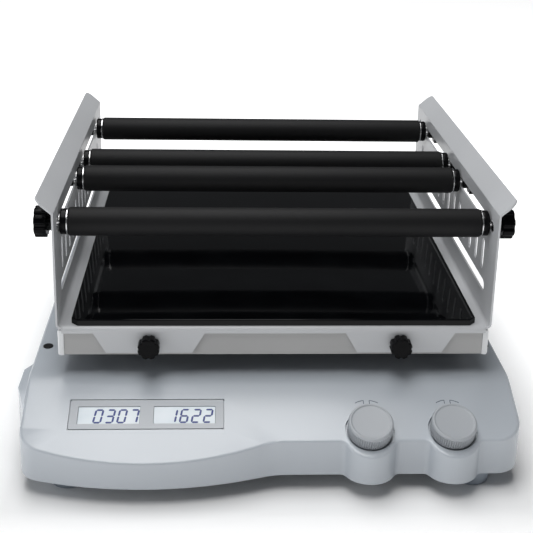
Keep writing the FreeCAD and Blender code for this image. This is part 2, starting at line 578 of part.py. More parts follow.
def panel_parts():
    w, l = BEZEL_W / 2, BEZEL_L / 2
    frame = rounded_block(-w, w, -l, l, -BEZEL_T, 0.1, BEZEL_R)
    for x in LCD_X:
        a, b = LCD_W / 2, LCD_L / 2
        dy = LCD_UP - BEZEL_UP
        frame = frame.cut(block(x - BEZEL_X - a, x - BEZEL_X + a, dy - b, dy + b, -9, 9))
    nodes = {"display_bezel": on_panel(frame, BEZEL_X, BEZEL_UP)}
    a, b = LCD_W / 2 - SEAT, LCD_L / 2 - SEAT
    lcds = [on_panel(block(-a, a, -b, b, -LCD_SUNK - LCD_T, -LCD_SUNK), x, LCD_UP) for x in LCD_X]
    nodes["lcd_modules"] = Part.makeCompound(lcds)
    left, right = BEZEL_X - BEZEL_W / 2, KNOB_X[1] + ENCODER_S / 2 + 4
    parts = [block(left, right, *BOARD_SPAN, -BOARD_DEPTH - BOARD_T, -BOARD_DEPTH)]
    for x, up, w, d, h in BOARD_CHIPS:
        parts.append(block(x - w / 2, x + w / 2, up - d / 2, up + d / 2, -BOARD_DEPTH - 0.1,
                           -BOARD_DEPTH + h))
    x, y = pillar_places()[-1]
    notch = disc(x, y, 0, DECK_Z, PILLAR_R + BOARD_NOTCH)
    nodes["control_board"] = on_panel(fuse(parts), 0, 0).cut(notch)
    nodes["knob_encoders"] = Part.makeCompound([encoder(x) for x in KNOB_X])
    for name, x in zip(("speed", "time"), KNOB_X):
        nodes[name + "_knob"] = control_knob(x)
        nodes[name + "_shaft"] = knob_shaft(x)
    return nodes


def switch_parts():
    """Rocker switch in the side pod: a flanged body and a rocker on a cross pin."""
    c = rocker_centre()
    l, h = ROCKER_L / 2, ROCKER_H / 2
    f = SWITCH_FLANGE
    pin_x, back = c.x + ROCKER_PIN_IN, c.x + SWITCH_DEPTH
    body = block(c.x - SWITCH_RIM, c.x, c.y - l - f, c.y + l + f, c.z - h - f, c.z + h + f)
    body = body.fuse(block(c.x - 0.5, back, c.y - l - f + SEAT, c.y + l + f - SEAT,
                           c.z - h - f + SEAT, c.z + h + f - SEAT))
    body = body.cut(block(c.x - 2 * SWITCH_RIM, c.x + SWITCH_WELL, c.y - l, c.y + l, c.z - h, c.z + h))
    pin = Part.makeCylinder(ROCKER_PIN_R, ROCKER_H + 2, V(pin_x, c.y, c.z - h - 1), Z_AXIS)
    leads = [block(back - 1, back + LEAD_L, c.y + d - LEAD_W / 2, c.y + d + LEAD_W / 2,
                   c.z - LEAD_T / 2, c.z + LEAD_T / 2) for d in (-LEAD_AT, LEAD_AT)]
    body = fuse([body.cut(pin), pin] + leads)
    low, r = c.z - h + GAP, l - ROCKER_END_GAP
    crest = c.x - ROCKER_PROUD
    profile = [(c.x + ROCKER_DEPTH, c.y - ROCKER_KEEL, low), (c.x + 1.0, c.y - r, low),
               (crest, c.y - r + 0.6, low), (c.x - ROCKER_WAIST, c.y, low),
               (crest, c.y + r - 0.6, low), (c.x + 1.0, c.y + r, low),
               (c.x + ROCKER_DEPTH, c.y + ROCKER_KEEL, low)]
    rocker = prism(profile, (0, 0, ROCKER_H - 2 * GAP))
    rocker.rotate(V(pin_x, c.y, c.z), Z_AXIS, ROCKER_TILT)
    rocker = rocker.cut(Part.makeCylinder(ROCKER_PIN_R + RUN, ROCKER_H + 4,
                                          V(pin_x, c.y, c.z - h - 2), Z_AXIS))
    return {"switch_body": body, "power_rocker": rocker}


def rear_parts():
    """Mains inlet with its fuse drawer, in the rear wall."""
    rear = BASE_D / 2
    w, h = INLET_W / 2, INLET_H / 2
    f = INLET_FLANGE
    flange = rounded_along_y(INLET_X - w, INLET_X + w, rear, rear + INLET_FLANGE_T,
                             INLET_Z - h - 1, INLET_Z + h + 1, INLET_R)
    body = flange.fuse(block(INLET_X - w, INLET_X + w, rear - INLET_DEPTH, rear + 0.5,
                             INLET_Z - h, INLET_Z + h))
    sx = INLET_X - w + f + SOCKET_W / 2
    a, b, out = SOCKET_W / 2, SOCKET_H / 2, rear + INLET_DEPTH
    corner = SOCKET_CHAMFER
    mouth = [(sx - a, out, INLET_Z - b), (sx + a, out, INLET_Z - b), (sx + a, out, INLET_Z + b - corner),
             (sx + a - corner, out, INLET_Z + b), (sx - a + corner, out, INLET_Z + b),
             (sx - a, out, INLET_Z + b - corner)]
    body = body.cut(prism(mouth, (0, -SOCKET_DEPTH - INLET_DEPTH, 0)))
    blades = [block(sx + d - BLADE_T / 2, sx + d + BLADE_T / 2, rear - SOCKET_DEPTH - 1, rear - BLADE_IN,
                    INLET_Z + z - BLADE_W / 2, INLET_Z + z + BLADE_W / 2)
              for d, z in ((-BLADE_PITCH, -BLADE_STEP), (0, BLADE_STEP), (BLADE_PITCH, -BLADE_STEP))]
    body = fuse([body] + blades)
    fx, a, b = INLET_X + w - FUSE_SIDE, FUSE_H / 2, FUSE_W / 2
    body = body.cut(block(fx - a - SEAT, fx + a + SEAT, rear - FUSE_DEPTH - 1, out,
                          INLET_Z - b - SEAT, INLET_Z + b + SEAT))
    drawer = block(fx - a, fx + a, rear - FUSE_DEPTH, rear + INLET_FLANGE_T + FUSE_PROUD,
                   INLET_Z - b, INLET_Z + b)
    drawer = drawer.cut(block(fx - FUSE_NOTCH / 2, fx + FUSE_NOTCH / 2, rear + INLET_FLANGE_T - 0.4, out,
                              INLET_Z - b / 3, INLET_Z + b / 3))
    return {"power_inlet": body.removeSplitter(), "fuse_drawer": drawer}


def rounded_along_y(x0, x1, y0, y1, z0, z1, r):
    body = block(x0, x1, y0, y1, z0, z1)
    return body.makeFillet(r, edges_where(
        body, lambda e: e.BoundBox.XLength < 1e-6 and e.BoundBox.ZLength < 1e-6))


def supply_board():
    """Power supply: a board on four spacers with its transformer, capacitors and heat sink."""
    z = BOTTOM_Z + BOTTOM_T
    x0, x1 = SUPPLY_X - SUPPLY_W / 2, SUPPLY_X + SUPPLY_W / 2
    y0, y1 = SUPPLY_Y - SUPPLY_D / 2, SUPPLY_Y + SUPPLY_D / 2
    top = z + STANDOFF + BOARD_T
    parts = [block(x0, x1, y0, y1, z + STANDOFF, top)]
    for x in (x0 + STANDOFF_IN, x1 - STANDOFF_IN):
        for y in (y0 + STANDOFF_IN, y1 - STANDOFF_IN):
            parts.append(disc(x, y, z, z + STANDOFF + 0.2, STANDOFF_R))
    for dx, dy, w, d, h in SUPPLY_BLOCKS:
        x, y = SUPPLY_X + dx, SUPPLY_Y + dy
        parts.append(block(x - w / 2, x + w / 2, y - d / 2, y + d / 2, top - 0.2, top + h))
    for dx, dy in CAPACITORS:
        parts.append(disc(SUPPLY_X + dx, SUPPLY_Y + dy, top - 0.2, top + CAPACITOR_H, CAPACITOR_R))
    return {"power_supply": fuse(parts)}


# ================================================================ drive
def belt_loop(r_driven, r_motor, z0, z1):
    """Outline round two pulleys: two arcs joined by the outer tangents."""
    a = asin((r_driven - r_motor) / MOTOR_GAP)
    my = DRIVE_Y - MOTOR_GAP
    ca, sa = cos(a), sin(a)
    p = [V(r_driven * ca, DRIVE_Y - r_driven * sa, z0), V(0, DRIVE_Y + r_driven, z0),
         V(-r_driven * ca, DRIVE_Y - r_driven * sa, z0), V(-r_motor * ca, my - r_motor * sa, z0),
         V(0, my - r_motor, z0), V(r_motor * ca, my - r_motor * sa, z0)]
    wire = Part.Wire([Part.Arc(p[0], p[1], p[2]).toShape(), Part.LineSegment(p[2], p[3]).toShape(),
                      Part.Arc(p[3], p[4], p[5]).toShape(), Part.LineSegment(p[5], p[0]).toShape()])
    return Part.Face(wire).extrude(V(0, 0, z1 - z0))


def pulley(x, y, radius, bore):
    """Flanged belt pulley; the belt runs between its lips."""
    z0, z1 = PULLEY_Z, PULLEY_Z + PULLEY_H
    lip = (PULLEY_H - BELT_H) / 2 - GAP
    body = disc(x, y, z0, z1, radius).fuse([disc(x, y, z0, z0 + lip, radius + PULLEY_LIP),
                                            disc(x, y, z1 - lip, z1, radius + PULLEY_LIP)])
    return body.cut(disc(x, y, z0 - 1, z1 + 1, bore)).removeSplitter()


def crank(x, y, low, lower_r, upper_r):
    """Eccentric crank: lower journal, web, and upper pin set over by the throw."""
    web_r = THROW + max(lower_r, upper_r) - THROW / 2 + WEB_MARGIN
    mx, my = x + PIN_DX / 2, y + PIN_DY / 2
    pin_top = TOP_Z - PLATFORM_TOP_T - 2.0
    return fuse([disc(x, y, low, WEB_Z + 1, lower_r), disc(mx, my, WEB_Z, WEB_Z + WEB_T, web_r),
                 disc(x + PIN_DX, y + PIN_DY, WEB_Z + WEB_T - 1, pin_top, upper_r)])


def drive_parts():
    x, y, my = 0.0, DRIVE_Y, DRIVE_Y - MOTOR_GAP
    nodes = {}
    hw, hd = CHASSIS_W / 2, CHASSIS_D / 2
    plate = rounded_block(-hw, hw, CHASSIS_Y - hd, CHASSIS_Y + hd, CHASSIS_Z, CHASSIS_TOP,
                          CHASSIS_CORNER_R)
    cup_r = IDLER_BRG_R + CUP_WALL
    for ix, iy in IDLERS.values():
        plate = plate.fuse(disc(ix, iy, CHASSIS_Z, CHASSIS_TOP + CUP_H, cup_r))
    plate = plate.removeSplitter()
    for ix, iy in IDLERS.values():
        plate = plate.cut(disc(ix, iy, CHASSIS_TOP + CUP_H - IDLER_BRG_H, 99, IDLER_BRG_R))
        plate = plate.cut(disc(ix, iy, 0, 99, IDLER_R + 2))
    plate = plate.cut(disc(x, y, 0, 99, HUB_R)).cut(disc(x, my, 0, 99, MOTOR_SHAFT_R + 6))
    for px, py in post_places():
        plate = plate.cut(disc(px, py, 0, 99, SCREW_R))
    for bx, by in on_circle(x, y, HUB_BOLT_R) + on_circle(x, my, MOTOR_BOLT_R):
        plate = plate.cut(disc(bx, by, 0, 99, SCREW_R))
    nodes["chassis_plate"] = plate
    posts = [ring(px, py, BOTTOM_Z + BOTTOM_T, CHASSIS_Z, POST_R, SCREW_R) for px, py in post_places()]
    nodes["chassis_posts"] = Part.makeCompound(posts)

    hub = disc(x, y, HUB_Z0, HUB_Z1, HUB_R)
    hub = hub.fuse(disc(x, y, CHASSIS_TOP, CHASSIS_TOP + HUB_FLANGE_T, HUB_FLANGE_R))
    hub = hub.cut([disc(x, y, 0, HUB_Z0 + MAIN_BRG_H, MAIN_BRG_R), disc(x, y, 0, 99, SHAFT_MAIN_R + 3),
                   disc(x, y, HUB_Z1 - MAIN_BRG_H, 99, MAIN_BRG_R)])
    for bx, by in on_circle(x, y, HUB_BOLT_R):
        hub = hub.cut(disc(bx, by, 0, 99, SCREW_R))
    nodes["bearing_hub"] = hub.removeSplitter()
    brgs = [bearing(x, y, z, MAIN_BRG_H, MAIN_BRG_R, SHAFT_MAIN_R + RUN)
            for z in (HUB_Z0, HUB_Z1 - MAIN_BRG_H)]
    brgs += [bearing(ix, iy, CHASSIS_TOP + CUP_H - IDLER_BRG_H, IDLER_BRG_H, IDLER_BRG_R, IDLER_R + RUN)
             for ix, iy in IDLERS.values()]
    nodes["base_bearings"] = Part.makeCompound(brgs)

    nodes["drive_crank"] = crank(x, y, PULLEY_Z, SHAFT_MAIN_R, PIN_R)
    for name, (ix, iy) in IDLERS.items():
        nodes["idler_crank_" + name] = crank(ix, iy, CHASSIS_TOP + 1.0, IDLER_R, IDLER_R)
    driven = pulley(x, y, DRIVEN_R, SHAFT_MAIN_R)
    for k in range(LIGHTEN_COUNT):
        a = 2 * pi * (k + 0.25) / LIGHTEN_COUNT
        driven = driven.cut(disc(x + LIGHTEN_AT * cos(a), y + LIGHTEN_AT * sin(a), 0, 99, LIGHTEN_R))
    nodes["driven_pulley"] = driven
    weight = ring(x, y, WEIGHT_Z, WEIGHT_Z + WEIGHT_T, WEIGHT_R, SHAFT_MAIN_R)
    half = block(-60, 0, -60, 60, -1, 99)
    half.Placement = FreeCAD.Placement(V(x, y, 0), FreeCAD.Rotation(Z_AXIS, PHASE))
    nodes["counterweight"] = weight.common(half).fuse(ring(x, y, WEIGHT_Z, WEIGHT_Z + WEIGHT_T,
                                                           SHAFT_MAIN_R + 5, SHAFT_MAIN_R)).removeSplitter()

    can = disc(x, my, CHASSIS_TOP, CHASSIS_TOP + MOTOR_H, MOTOR_R)
    can = can.makeFillet(MOTOR_EDGE_R, edges_where(can, lambda e: e.BoundBox.ZMin > CHASSIS_TOP + 1))
    can = can.fuse(disc(x, my, CHASSIS_TOP - 2, CHASSIS_TOP, MOTOR_SHAFT_R + 5.7)).removeSplitter()
    can = can.cut(disc(x, my, 0, CHASSIS_TOP + MOTOR_SHAFT_IN + 0.5, MOTOR_SHAFT_R + RUN))
    for bx, by in on_circle(x, my, MOTOR_BOLT_R):
        can = can.cut(disc(bx, by, 0, CHASSIS_Z + SCREW_L, SCREW_R))
    nodes["motor"] = can
    nodes["motor_shaft"] = disc(x, my, PULLEY_Z, CHASSIS_TOP + MOTOR_SHAFT_IN, MOTOR_SHAFT_R)
    nodes["motor_pulley"] = pulley(x, my, MOTOR_PULLEY_R, MOTOR_SHAFT_R)
    z0 = PULLEY_Z + (PULLEY_H - BELT_H) / 2
    outer = belt_loop(DRIVEN_R + GAP + BELT_T, MOTOR_PULLEY_R + GAP + BELT_T, z0, z0 + BELT_H)
    inner = belt_loop(DRIVEN_R + GAP, MOTOR_PULLEY_R + GAP, z0 - 1, z0 + BELT_H + 1)
    nodes["drive_belt"] = outer.cut(inner)
    return nodes


# ================================================================ platform and carrier
def platform_parts():
    """Shallow tray, open below, with a bearing boss over each crank; its front and rear top
    edges are rounded to lie inside the carrier's bends."""
    hw, hd = PLATFORM_W / 2, PLATFORM_D / 2
    low = TOP_Z - PLATFORM_H
    t = PLATFORM_WALL
    body = block(PX - hw, PX + hw, PY - hd, PY + hd, low, TOP_Z)
    body = body.makeFillet(BEND_R - SHEET, edges_where(
        body, lambda e: e.BoundBox.ZMin > TOP_Z - 1e-6 and e.BoundBox.YLength < 1e-6))
    body = body.cut(block(PX - hw + t, PX + hw - t, PY - hd + t, PY + hd - t,
                          low - 1, TOP_Z - PLATFORM_TOP_T))
    seats = [(PX, PY, PLATFORM_BRG_R, PIN_R, PLATFORM_BRG_H)]
    seats += [(x + PIN_DX, y + PIN_DY, IDLER_BRG_R, IDLER_R, IDLER_BRG_H) for x, y in IDLERS.values()]
    bosses = [disc(x, y, BRG_SEAT_Z, TOP_Z - 1, r + BOSS_WALL) for x, y, r, _, _ in seats]
    body = body.fuse(bosses).removeSplitter()
    bearings = []
    for x, y, r, bore, h in seats:
        body = body.cut([disc(x, y, 0, BRG_SEAT_Z + h, r), disc(x, y, 0, TOP_Z - PLATFORM_TOP_T, bore + 2)])
        bearings.append(bearing(x, y, BRG_SEAT_Z, h, r, bore + RUN))
    for sx in (-1, 1):
        hole = Part.makeCylinder(THUMB_STUD_R + RUN, 30,
                                 V(PX + sx * TAB_X, PY - hd - 5, TOP_Z - THUMB_DROP), Y_AXIS)
        body = body.cut(hole)
    trims = []
    for sx in (-1, 1):
        a, b = sorted((PX + sx * hw, PX + sx * (hw + TRIM_W)))
        reach = CARRIER_D / 2 - SHEET - SEAT
        strip = block(a, b, PY - reach, PY + reach, low - TRIM_LOW, TOP_Z - TRIM_DROP)
        edge = PX + sx * (hw + TRIM_W)
        strip = strip.makeFillet(TRIM_R, edges_where(
            strip, lambda e: abs(e.BoundBox.XMin - edge) < 1e-6 and abs(e.BoundBox.XMax - edge) < 1e-6))
        trims.append(strip)
    return {"platform": body, "platform_trims": Part.makeCompound(trims),
            "platform_bearings": Part.makeCompound(bearings)}


def sheet_section(side):
    """Half of the carrier's cross-section: floor, upright side and turned-out flange."""
    w, r, t = CARRIER_W / 2, BEND_R, SHEET
    a = radians(FLANGE_ANGLE)
    z = TOP_Z
    ox, oz = FLANGE * cos(a), FLANGE * sin(a)
    nx, nz = sin(a), -cos(a)
    k = tan(a / 2)
    outer = [(0, z), (w - r, z), ("arc", w - r * (1 - sin(pi / 4)), z + r * (1 - cos(pi / 4)), w, z + r),
             (w, z + FOLD_H - 1), (w + ox, z + FOLD_H - 1 + oz)]
    tip = (w + ox - t * nx, z + FOLD_H - 1 + oz - t * nz)
    ri = r - t
    inner = [tip, (w - t, z + FOLD_H - 1 + t * k), (w - t, z + r),
             ("arc", w - r + ri * sin(pi / 4), z + r - ri * cos(pi / 4), w - r, z + t), (0, z + t)]
    edges, last = [], None
    for p in outer + inner + [outer[0]]:
        if p[0] == "arc":
            point = [V(PX + side * q[0], CARRIER_FRONT, q[1]) for q in (last, p[1:3], p[3:5])]
            edges.append(Part.Arc(*point).toShape())
            last = p[3:5]
            continue
        if last is not None:
            edges.append(Part.LineSegment(V(PX + side * last[0], CARRIER_FRONT, last[1]),
                                          V(PX + side * p[0], CARRIER_FRONT, p[1])).toShape())
        last = p
    return Part.Face(Part.Wire(edges)).extrude(V(0, CARRIER_D, 0))


def folded_lip(edge, end, half_width):
    """The sheet turned down at the front or rear edge of the floor."""
    top, r, t = TOP_Z + SHEET, BEND_R, SHEET

    def at(back, z):
        return V(PX - half_width, edge - end * back, z)

    def bend(radius):
        off = radius * (1 - cos(pi / 4))
        return off + r - radius
    outer = Part.Arc(at(0, top - r), at(bend(r), top - bend(r)), at(r, top)).toShape()
    inner = Part.Arc(at(r, top - t), at(bend(r - t), top - bend(r - t)), at(t, top - r)).toShape()
    wire = Part.Wire([outer, Part.LineSegment(at(r, top), at(r, top - t)).toShape(), inner,
                      Part.LineSegment(at(t, top - r), at(t, top - LIP)).toShape(),
                      Part.LineSegment(at(t, top - LIP), at(0, top - LIP)).toShape(),
                      Part.LineSegment(at(0, top - LIP), at(0, top - r)).toShape()])
    return Part.Face(wire).extrude(V(2 * half_width, 0, 0))


def tabs(edge, end):
    """Two tapered tabs below the lip; the front pair has the thumb screws' holes."""
    y0 = min(edge, edge - end * SHEET)
    made = []
    for sx in (-1, 1):
        c, a, b = PX + sx * TAB_X, TAB_TOP / 2, TAB_END / 2
        tab = prism([(c - a, y0, TOP_Z + SHEET - BEND_R), (c + a, y0, TOP_Z + SHEET - BEND_R),
                     (c + b, y0, TOP_Z - TAB_DROP), (c - b, y0, TOP_Z - TAB_DROP)], (0, SHEET, 0))
        if end < 0:
            tab = tab.cut(Part.makeCylinder(THUMB_STUD_R + SEAT, SHEET + 4,
                                            V(c, y0 - 2, TOP_Z - THUMB_DROP), Y_AXIS))
        made.append(tab)
    return made


def carrier_tray():
    """One folded sheet: floor, slotted sides with turned-out flanges, lips and screw tabs."""
    halves = []
    for side in (-1, 1):
        half = sheet_section(side)
        tip = CARRIER_W / 2 + FLANGE * cos(radians(FLANGE_ANGLE))
        lo, hi = (CARRIER_FRONT, CARRIER_FRONT + CARRIER_D)
        corners = edges_where(half, lambda e: e.Length < SHEET * 1.1 and e.BoundBox.ZMin > TOP_Z + FOLD_H
                              and abs(e.CenterOfMass.x - PX) > tip - SHEET
                              and (abs(e.CenterOfMass.y - lo) < 1e-3 or abs(e.CenterOfMass.y - hi) < 1e-3))
        half = half.makeFillet(FLANGE_CORNER_R, corners)
        bend = edges_where(half, lambda e: e.BoundBox.YLength > CARRIER_D - 1
                           and abs(e.CenterOfMass.z - TOP_Z - FOLD_H) < SHEET * 1.2)
        halves.append(half.makeFillet(SHEET * 0.9, bend))
    tray = fuse(halves)
    mid_y = CARRIER_FRONT + CARRIER_D / 2
    for end in (-1, 1):
        edge = mid_y + end * CARRIER_D / 2
        w = CARRIER_W / 2 - BEND_R
        y0, y1 = sorted((edge, edge - end * BEND_R))
        tray = tray.cut(block(PX - w, PX + w, y0, y1, TOP_Z - 1, TOP_Z + SHEET + 1))
        tray = tray.fuse([folded_lip(edge, end, w)] + tabs(edge, end))
    tray = tray.removeSplitter()
    x0, x1 = PX - CARRIER_W, PX + CARRIER_W
    f, b = CARRIER_FRONT, CARRIER_FRONT + CARRIER_D
    cuts = [slot_along_y(x0, x1, f + UPPER_END, b - UPPER_END, TOP_Z + BAR_H, UPPER_SLOT),
            slot_along_y(x0, x1, f + LOWER_END, b - LOWER_END, TOP_Z + LOWER_H, LOWER_SLOT)]
    first = mid_y - VENT_PITCH * (VENT_COUNT - 1) / 2
    r = VENT_W / 2
    z0, z1 = TOP_Z + VENT_H0 + r, TOP_Z + VENT_H1 - r
    for k in range(VENT_COUNT):
        y = first + k * VENT_PITCH
        cuts.append(fuse([block(x0, x1, y - r, y + r, z0, z1),
                          rod(x0, x1, y, z0, r), rod(x0, x1, y, z1, r)]))
    return {"carrier_tray": tray.cut(cuts)}


def rubber_mat():
    w, c = MAT_W / 2, MAT_CHAMFER
    y0, y1 = CARRIER_FRONT + MAT_END, CARRIER_FRONT + CARRIER_D - MAT_END
    z = TOP_Z + SHEET
    plan = [(PX - w + c, y0, z), (PX + w - c, y0, z), (PX + w, y0 + c, z), (PX + w, y1 - c, z),
            (PX + w - c, y1, z), (PX - w + c, y1, z), (PX - w, y1 - c, z), (PX - w, y0 + c, z)]
    mat = prism(plan, (0, 0, MAT_T))
    rim = edges_where(mat, lambda e: e.BoundBox.ZMin > z + MAT_T - 1e-3)
    return {"rubber_mat": mat.makeFillet(MAT_EDGE_R, rim)}


def thumb_screws():
    """Lobed screws that hold the front tabs to the platform."""
    nodes = {}
    for name, sx in (("left", -1), ("right", 1)):
        place = V(PX + sx * TAB_X, CARRIER_FRONT - GAP, TOP_Z - THUMB_DROP)
        head = lobed(THUMB_R, THUMB_T, THUMB_LOBES, THUMB_R * 0.22)
        stud = disc(0, 0, -THUMB_STUD_L, 1, THUMB_STUD_R)
        nodes["thumb_screw_" + name] = aim(head.fuse(stud).removeSplitter(), place, V(0, -1, 0))
    return nodes


def bar_parts():
    """Four cross bars, each a rod with a rubber sleeve, two collars and two star knobs."""
    nodes = {}
    inner = CARRIER_W / 2 - SHEET - COLLAR_OFF   # collar's outer face
    outer = CARRIER_W / 2 + GAP              # star hub's inner face
    sleeve_x = inner - COLLAR_T - SLEEVE_GAP
    z = TOP_Z + BAR_H
    for number, back in enumerate(BAR_AT, 1):
        y = CARRIER_FRONT + back
        name = "bar_%d_" % number
        core = inner - COLLAR_T
        nodes[name + "rod"] = fuse([rod(PX - outer - ROD_IN_STAR, PX + outer + ROD_IN_STAR, y, z, ROD_R),
                                    rod(PX - core, PX + core, y, z, ROD_CORE_R),
                                    rod(PX - core, PX - core + SHOULDER_T, y, z, SHOULDER_R),
                                    rod(PX + core - SHOULDER_T, PX + core, y, z, SHOULDER_R)])
        tube = rod(PX - sleeve_x, PX + sleeve_x, y, z, SLEEVE_R)
        tube = tube.makeFillet(SLEEVE_ROUND, edges_where(tube, lambda e: e.BoundBox.YLength > SLEEVE_R
                                                         and e.BoundBox.XLength < 1e-6))
        nodes[name + "sleeve"] = tube.cut(rod(PX - outer, PX + outer, y, z, ROD_CORE_R))
        collars = []
        for side in (-1, 1):
            a, b = sorted((PX + side * (inner - COLLAR_T), PX + side * inner))
            collar = rod(a, b, y, z, COLLAR_R)
            collar = collar.makeFillet(COLLAR_EDGE_R, edges_where(
                collar, lambda e: e.BoundBox.XLength < 1e-6))
            collars.append(collar.cut(rod(a - 1, b + 1, y, z, ROD_R)))
        nodes[name + "collars"] = Part.makeCompound(collars)
        for side_name, side in (("left", -1), ("right", 1)):
            head = lobed(STAR_R, STAR_T, STAR_LOBES, STAR_R * 0.24)
            knob = aim(head, V(0, 0, STAR_HUB_L), Z_AXIS).fuse(disc(0, 0, 0, STAR_HUB_L + 1, STAR_HUB_R))
            knob = knob.removeSplitter().cut(disc(0, 0, -1, ROD_IN_STAR + 0.6, ROD_R + RUN))
            nodes[name + "knob_" + side_name] = aim(knob, V(PX + side * outer, y, z), V(side, 0, 0))
    return nodes


# ================================================================ write the pieces
def main():
    nodes = {}
    for maker in (base_housing, bottom_plate, feet, screws, deck_plugs, panel_parts, switch_parts,
                  rear_parts, supply_board, drive_parts, platform_parts, carrier_tray, rubber_mat,
                  thumb_screws, bar_parts):
        nodes.update(maker())
    os.makedirs("parts", exist_ok=True)
    for name, shape in nodes.items():
        print("%-26s solids %d  valid %s  %8.1f cm3" % (name, len(shape.Solids), shape.isValid(),
                                                       shape.Volume / 1000))
        shape.translate(V(POD_OUT / 2, 0, 0))
        shape.exportStep(os.path.join("parts", name + ".step"))
    print(len(nodes), "nodes")


main()
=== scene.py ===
import json
import math

import bmesh
import bpy
import numpy as np
from mathutils import Matrix, Vector

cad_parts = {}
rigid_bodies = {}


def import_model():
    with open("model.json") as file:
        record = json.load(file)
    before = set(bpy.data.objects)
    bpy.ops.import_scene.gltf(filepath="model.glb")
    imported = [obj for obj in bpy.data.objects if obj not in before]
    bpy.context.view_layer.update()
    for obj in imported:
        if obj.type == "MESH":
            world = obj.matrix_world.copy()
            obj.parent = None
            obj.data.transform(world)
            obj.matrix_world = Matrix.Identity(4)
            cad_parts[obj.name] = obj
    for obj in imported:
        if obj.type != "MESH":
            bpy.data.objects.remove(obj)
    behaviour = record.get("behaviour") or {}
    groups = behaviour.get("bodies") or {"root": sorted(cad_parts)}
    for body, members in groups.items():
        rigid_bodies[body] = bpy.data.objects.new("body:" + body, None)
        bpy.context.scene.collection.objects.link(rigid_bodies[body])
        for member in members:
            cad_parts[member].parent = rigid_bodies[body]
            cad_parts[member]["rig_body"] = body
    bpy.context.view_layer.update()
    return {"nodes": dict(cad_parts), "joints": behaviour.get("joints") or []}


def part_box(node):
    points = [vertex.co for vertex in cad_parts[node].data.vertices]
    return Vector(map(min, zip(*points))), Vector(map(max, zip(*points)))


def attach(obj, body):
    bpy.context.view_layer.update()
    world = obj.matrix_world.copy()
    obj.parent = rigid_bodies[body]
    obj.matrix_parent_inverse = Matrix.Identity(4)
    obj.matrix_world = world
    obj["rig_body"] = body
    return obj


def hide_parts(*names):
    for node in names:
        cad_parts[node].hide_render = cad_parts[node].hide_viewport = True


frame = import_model()
nodes = frame["nodes"]
joints = {joint["name"]: joint for joint in frame["joints"]}
MM = 0.001


# ------------------------------------------------------------------ the studio
# A white table, which glows with painted light away from the base, under large soft lamps, seen from a
# little above the front, as a catalogue shows an instrument.  The view is held by the camera's place and
# its three turns.
camera_place = Vector((-41.8, -863.9, 465.5)) * MM
camera_yaw, camera_pitch, camera_roll = (math.radians(a) for a in (3.007, 17.688, -1.298))
camera_lens = 71.6
camera_lift = -0.187

forward = Vector((math.sin(camera_yaw) * math.cos(camera_pitch),
                  math.cos(camera_yaw) * math.cos(camera_pitch), -math.sin(camera_pitch)))
level = Vector((math.cos(camera_yaw), -math.sin(camera_yaw), 0))
down = forward.cross(level)
right = math.cos(camera_roll) * level + math.sin(camera_roll) * down
down = math.cos(camera_roll) * down - math.sin(camera_roll) * level
camera = bpy.data.objects.new("camera", bpy.data.cameras.new("camera"))
bpy.context.scene.collection.objects.link(camera)
camera.data.lens = camera_lens
camera.data.shift_y = camera_lift
camera.data.clip_start = 0.05
turn = Matrix(((right.x, -down.x, -forward.x), (right.y, -down.y, -forward.y),
               (right.z, -down.z, -forward.z)))
camera.matrix_world = Matrix.Translation(camera_place) @ turn.to_4x4()
bpy.context.scene.camera = camera
bpy.context.scene.view_settings.view_transform = "Standard"


def softbox(name, place, aim, width, depth, power, tint=(1.0, 1.0, 1.0)):
    """A rectangular lamp at one place, turned to face another."""
    lamp = bpy.data.objects.new(name, bpy.data.lights.new(name, "AREA"))
    bpy.context.scene.collection.objects.link(lamp)
    lamp.data.shape = "RECTANGLE"
    lamp.data.size, lamp.data.size_y = width, depth
    lamp.data.energy = power
    lamp.data.color = tint
    lamp.location = place
    lamp.rotation_euler = (Vector(aim) - Vector(place)).to_track_quat("-Z", "Y").to_euler()
    return lamp


softbox("lamp_over", (-0.15, 0.02, 1.7), (0.0, 0.0, 0.1), 2.2, 0.9, 31.0)
softbox("lamp_left", (-1.6, -0.75, 0.75), (0.0, 0.0, 0.1), 0.9, 1.1, 5.0, (0.96, 0.98, 1.0))
sky = bpy.data.worlds.new("studio")
sky.use_nodes = True
sky.node_tree.nodes["Background"].inputs["Color"].default_value = (0.93, 0.96, 1.0, 1.0)
sky.node_tree.nodes["Background"].inputs["Strength"].default_value = 0.10
bpy.context.scene.world = sky


def new_finish(name):
    """A material with its shader and its Object coordinates ready."""
    finish = bpy.data.materials.new(name)
    finish.use_nodes = True
    tree = finish.node_tree
    shader = tree.nodes["Principled BSDF"]
    place = tree.nodes.new("ShaderNodeTexCoord").outputs["Object"]
    return finish, tree, shader, place


def noise_at(tree, place, scale, detail=3.0, stretch=(1.0, 1.0, 1.0)):
    """A cloudy value from 0 to 1, its lumps 1/scale metres long, squeezed along each axis by stretch."""
    turn = tree.nodes.new("ShaderNodeMapping")
    turn.inputs["Scale"].default_value = stretch
    tree.links.new(place, turn.inputs["Vector"])
    cloud = tree.nodes.new("ShaderNodeTexNoise")
    cloud.inputs["Scale"].default_value = scale
    cloud.inputs["Detail"].default_value = detail
    tree.links.new(turn.outputs["Vector"], cloud.inputs["Vector"])
    return cloud.outputs["Fac"]


def spread(tree, value, low, high, start=0.3, stop=0.7):
    """The same value carried from the range start..stop to the range low..high."""
    ramp = tree.nodes.new("ShaderNodeMapRange")
    ends = {"From Min": start, "From Max": stop, "To Min": low, "To Max": high}
    for socket, amount in ends.items():
        ramp.inputs[socket].default_value = amount
    tree.links.new(value, ramp.inputs["Value"])
    return ramp.outputs["Result"]


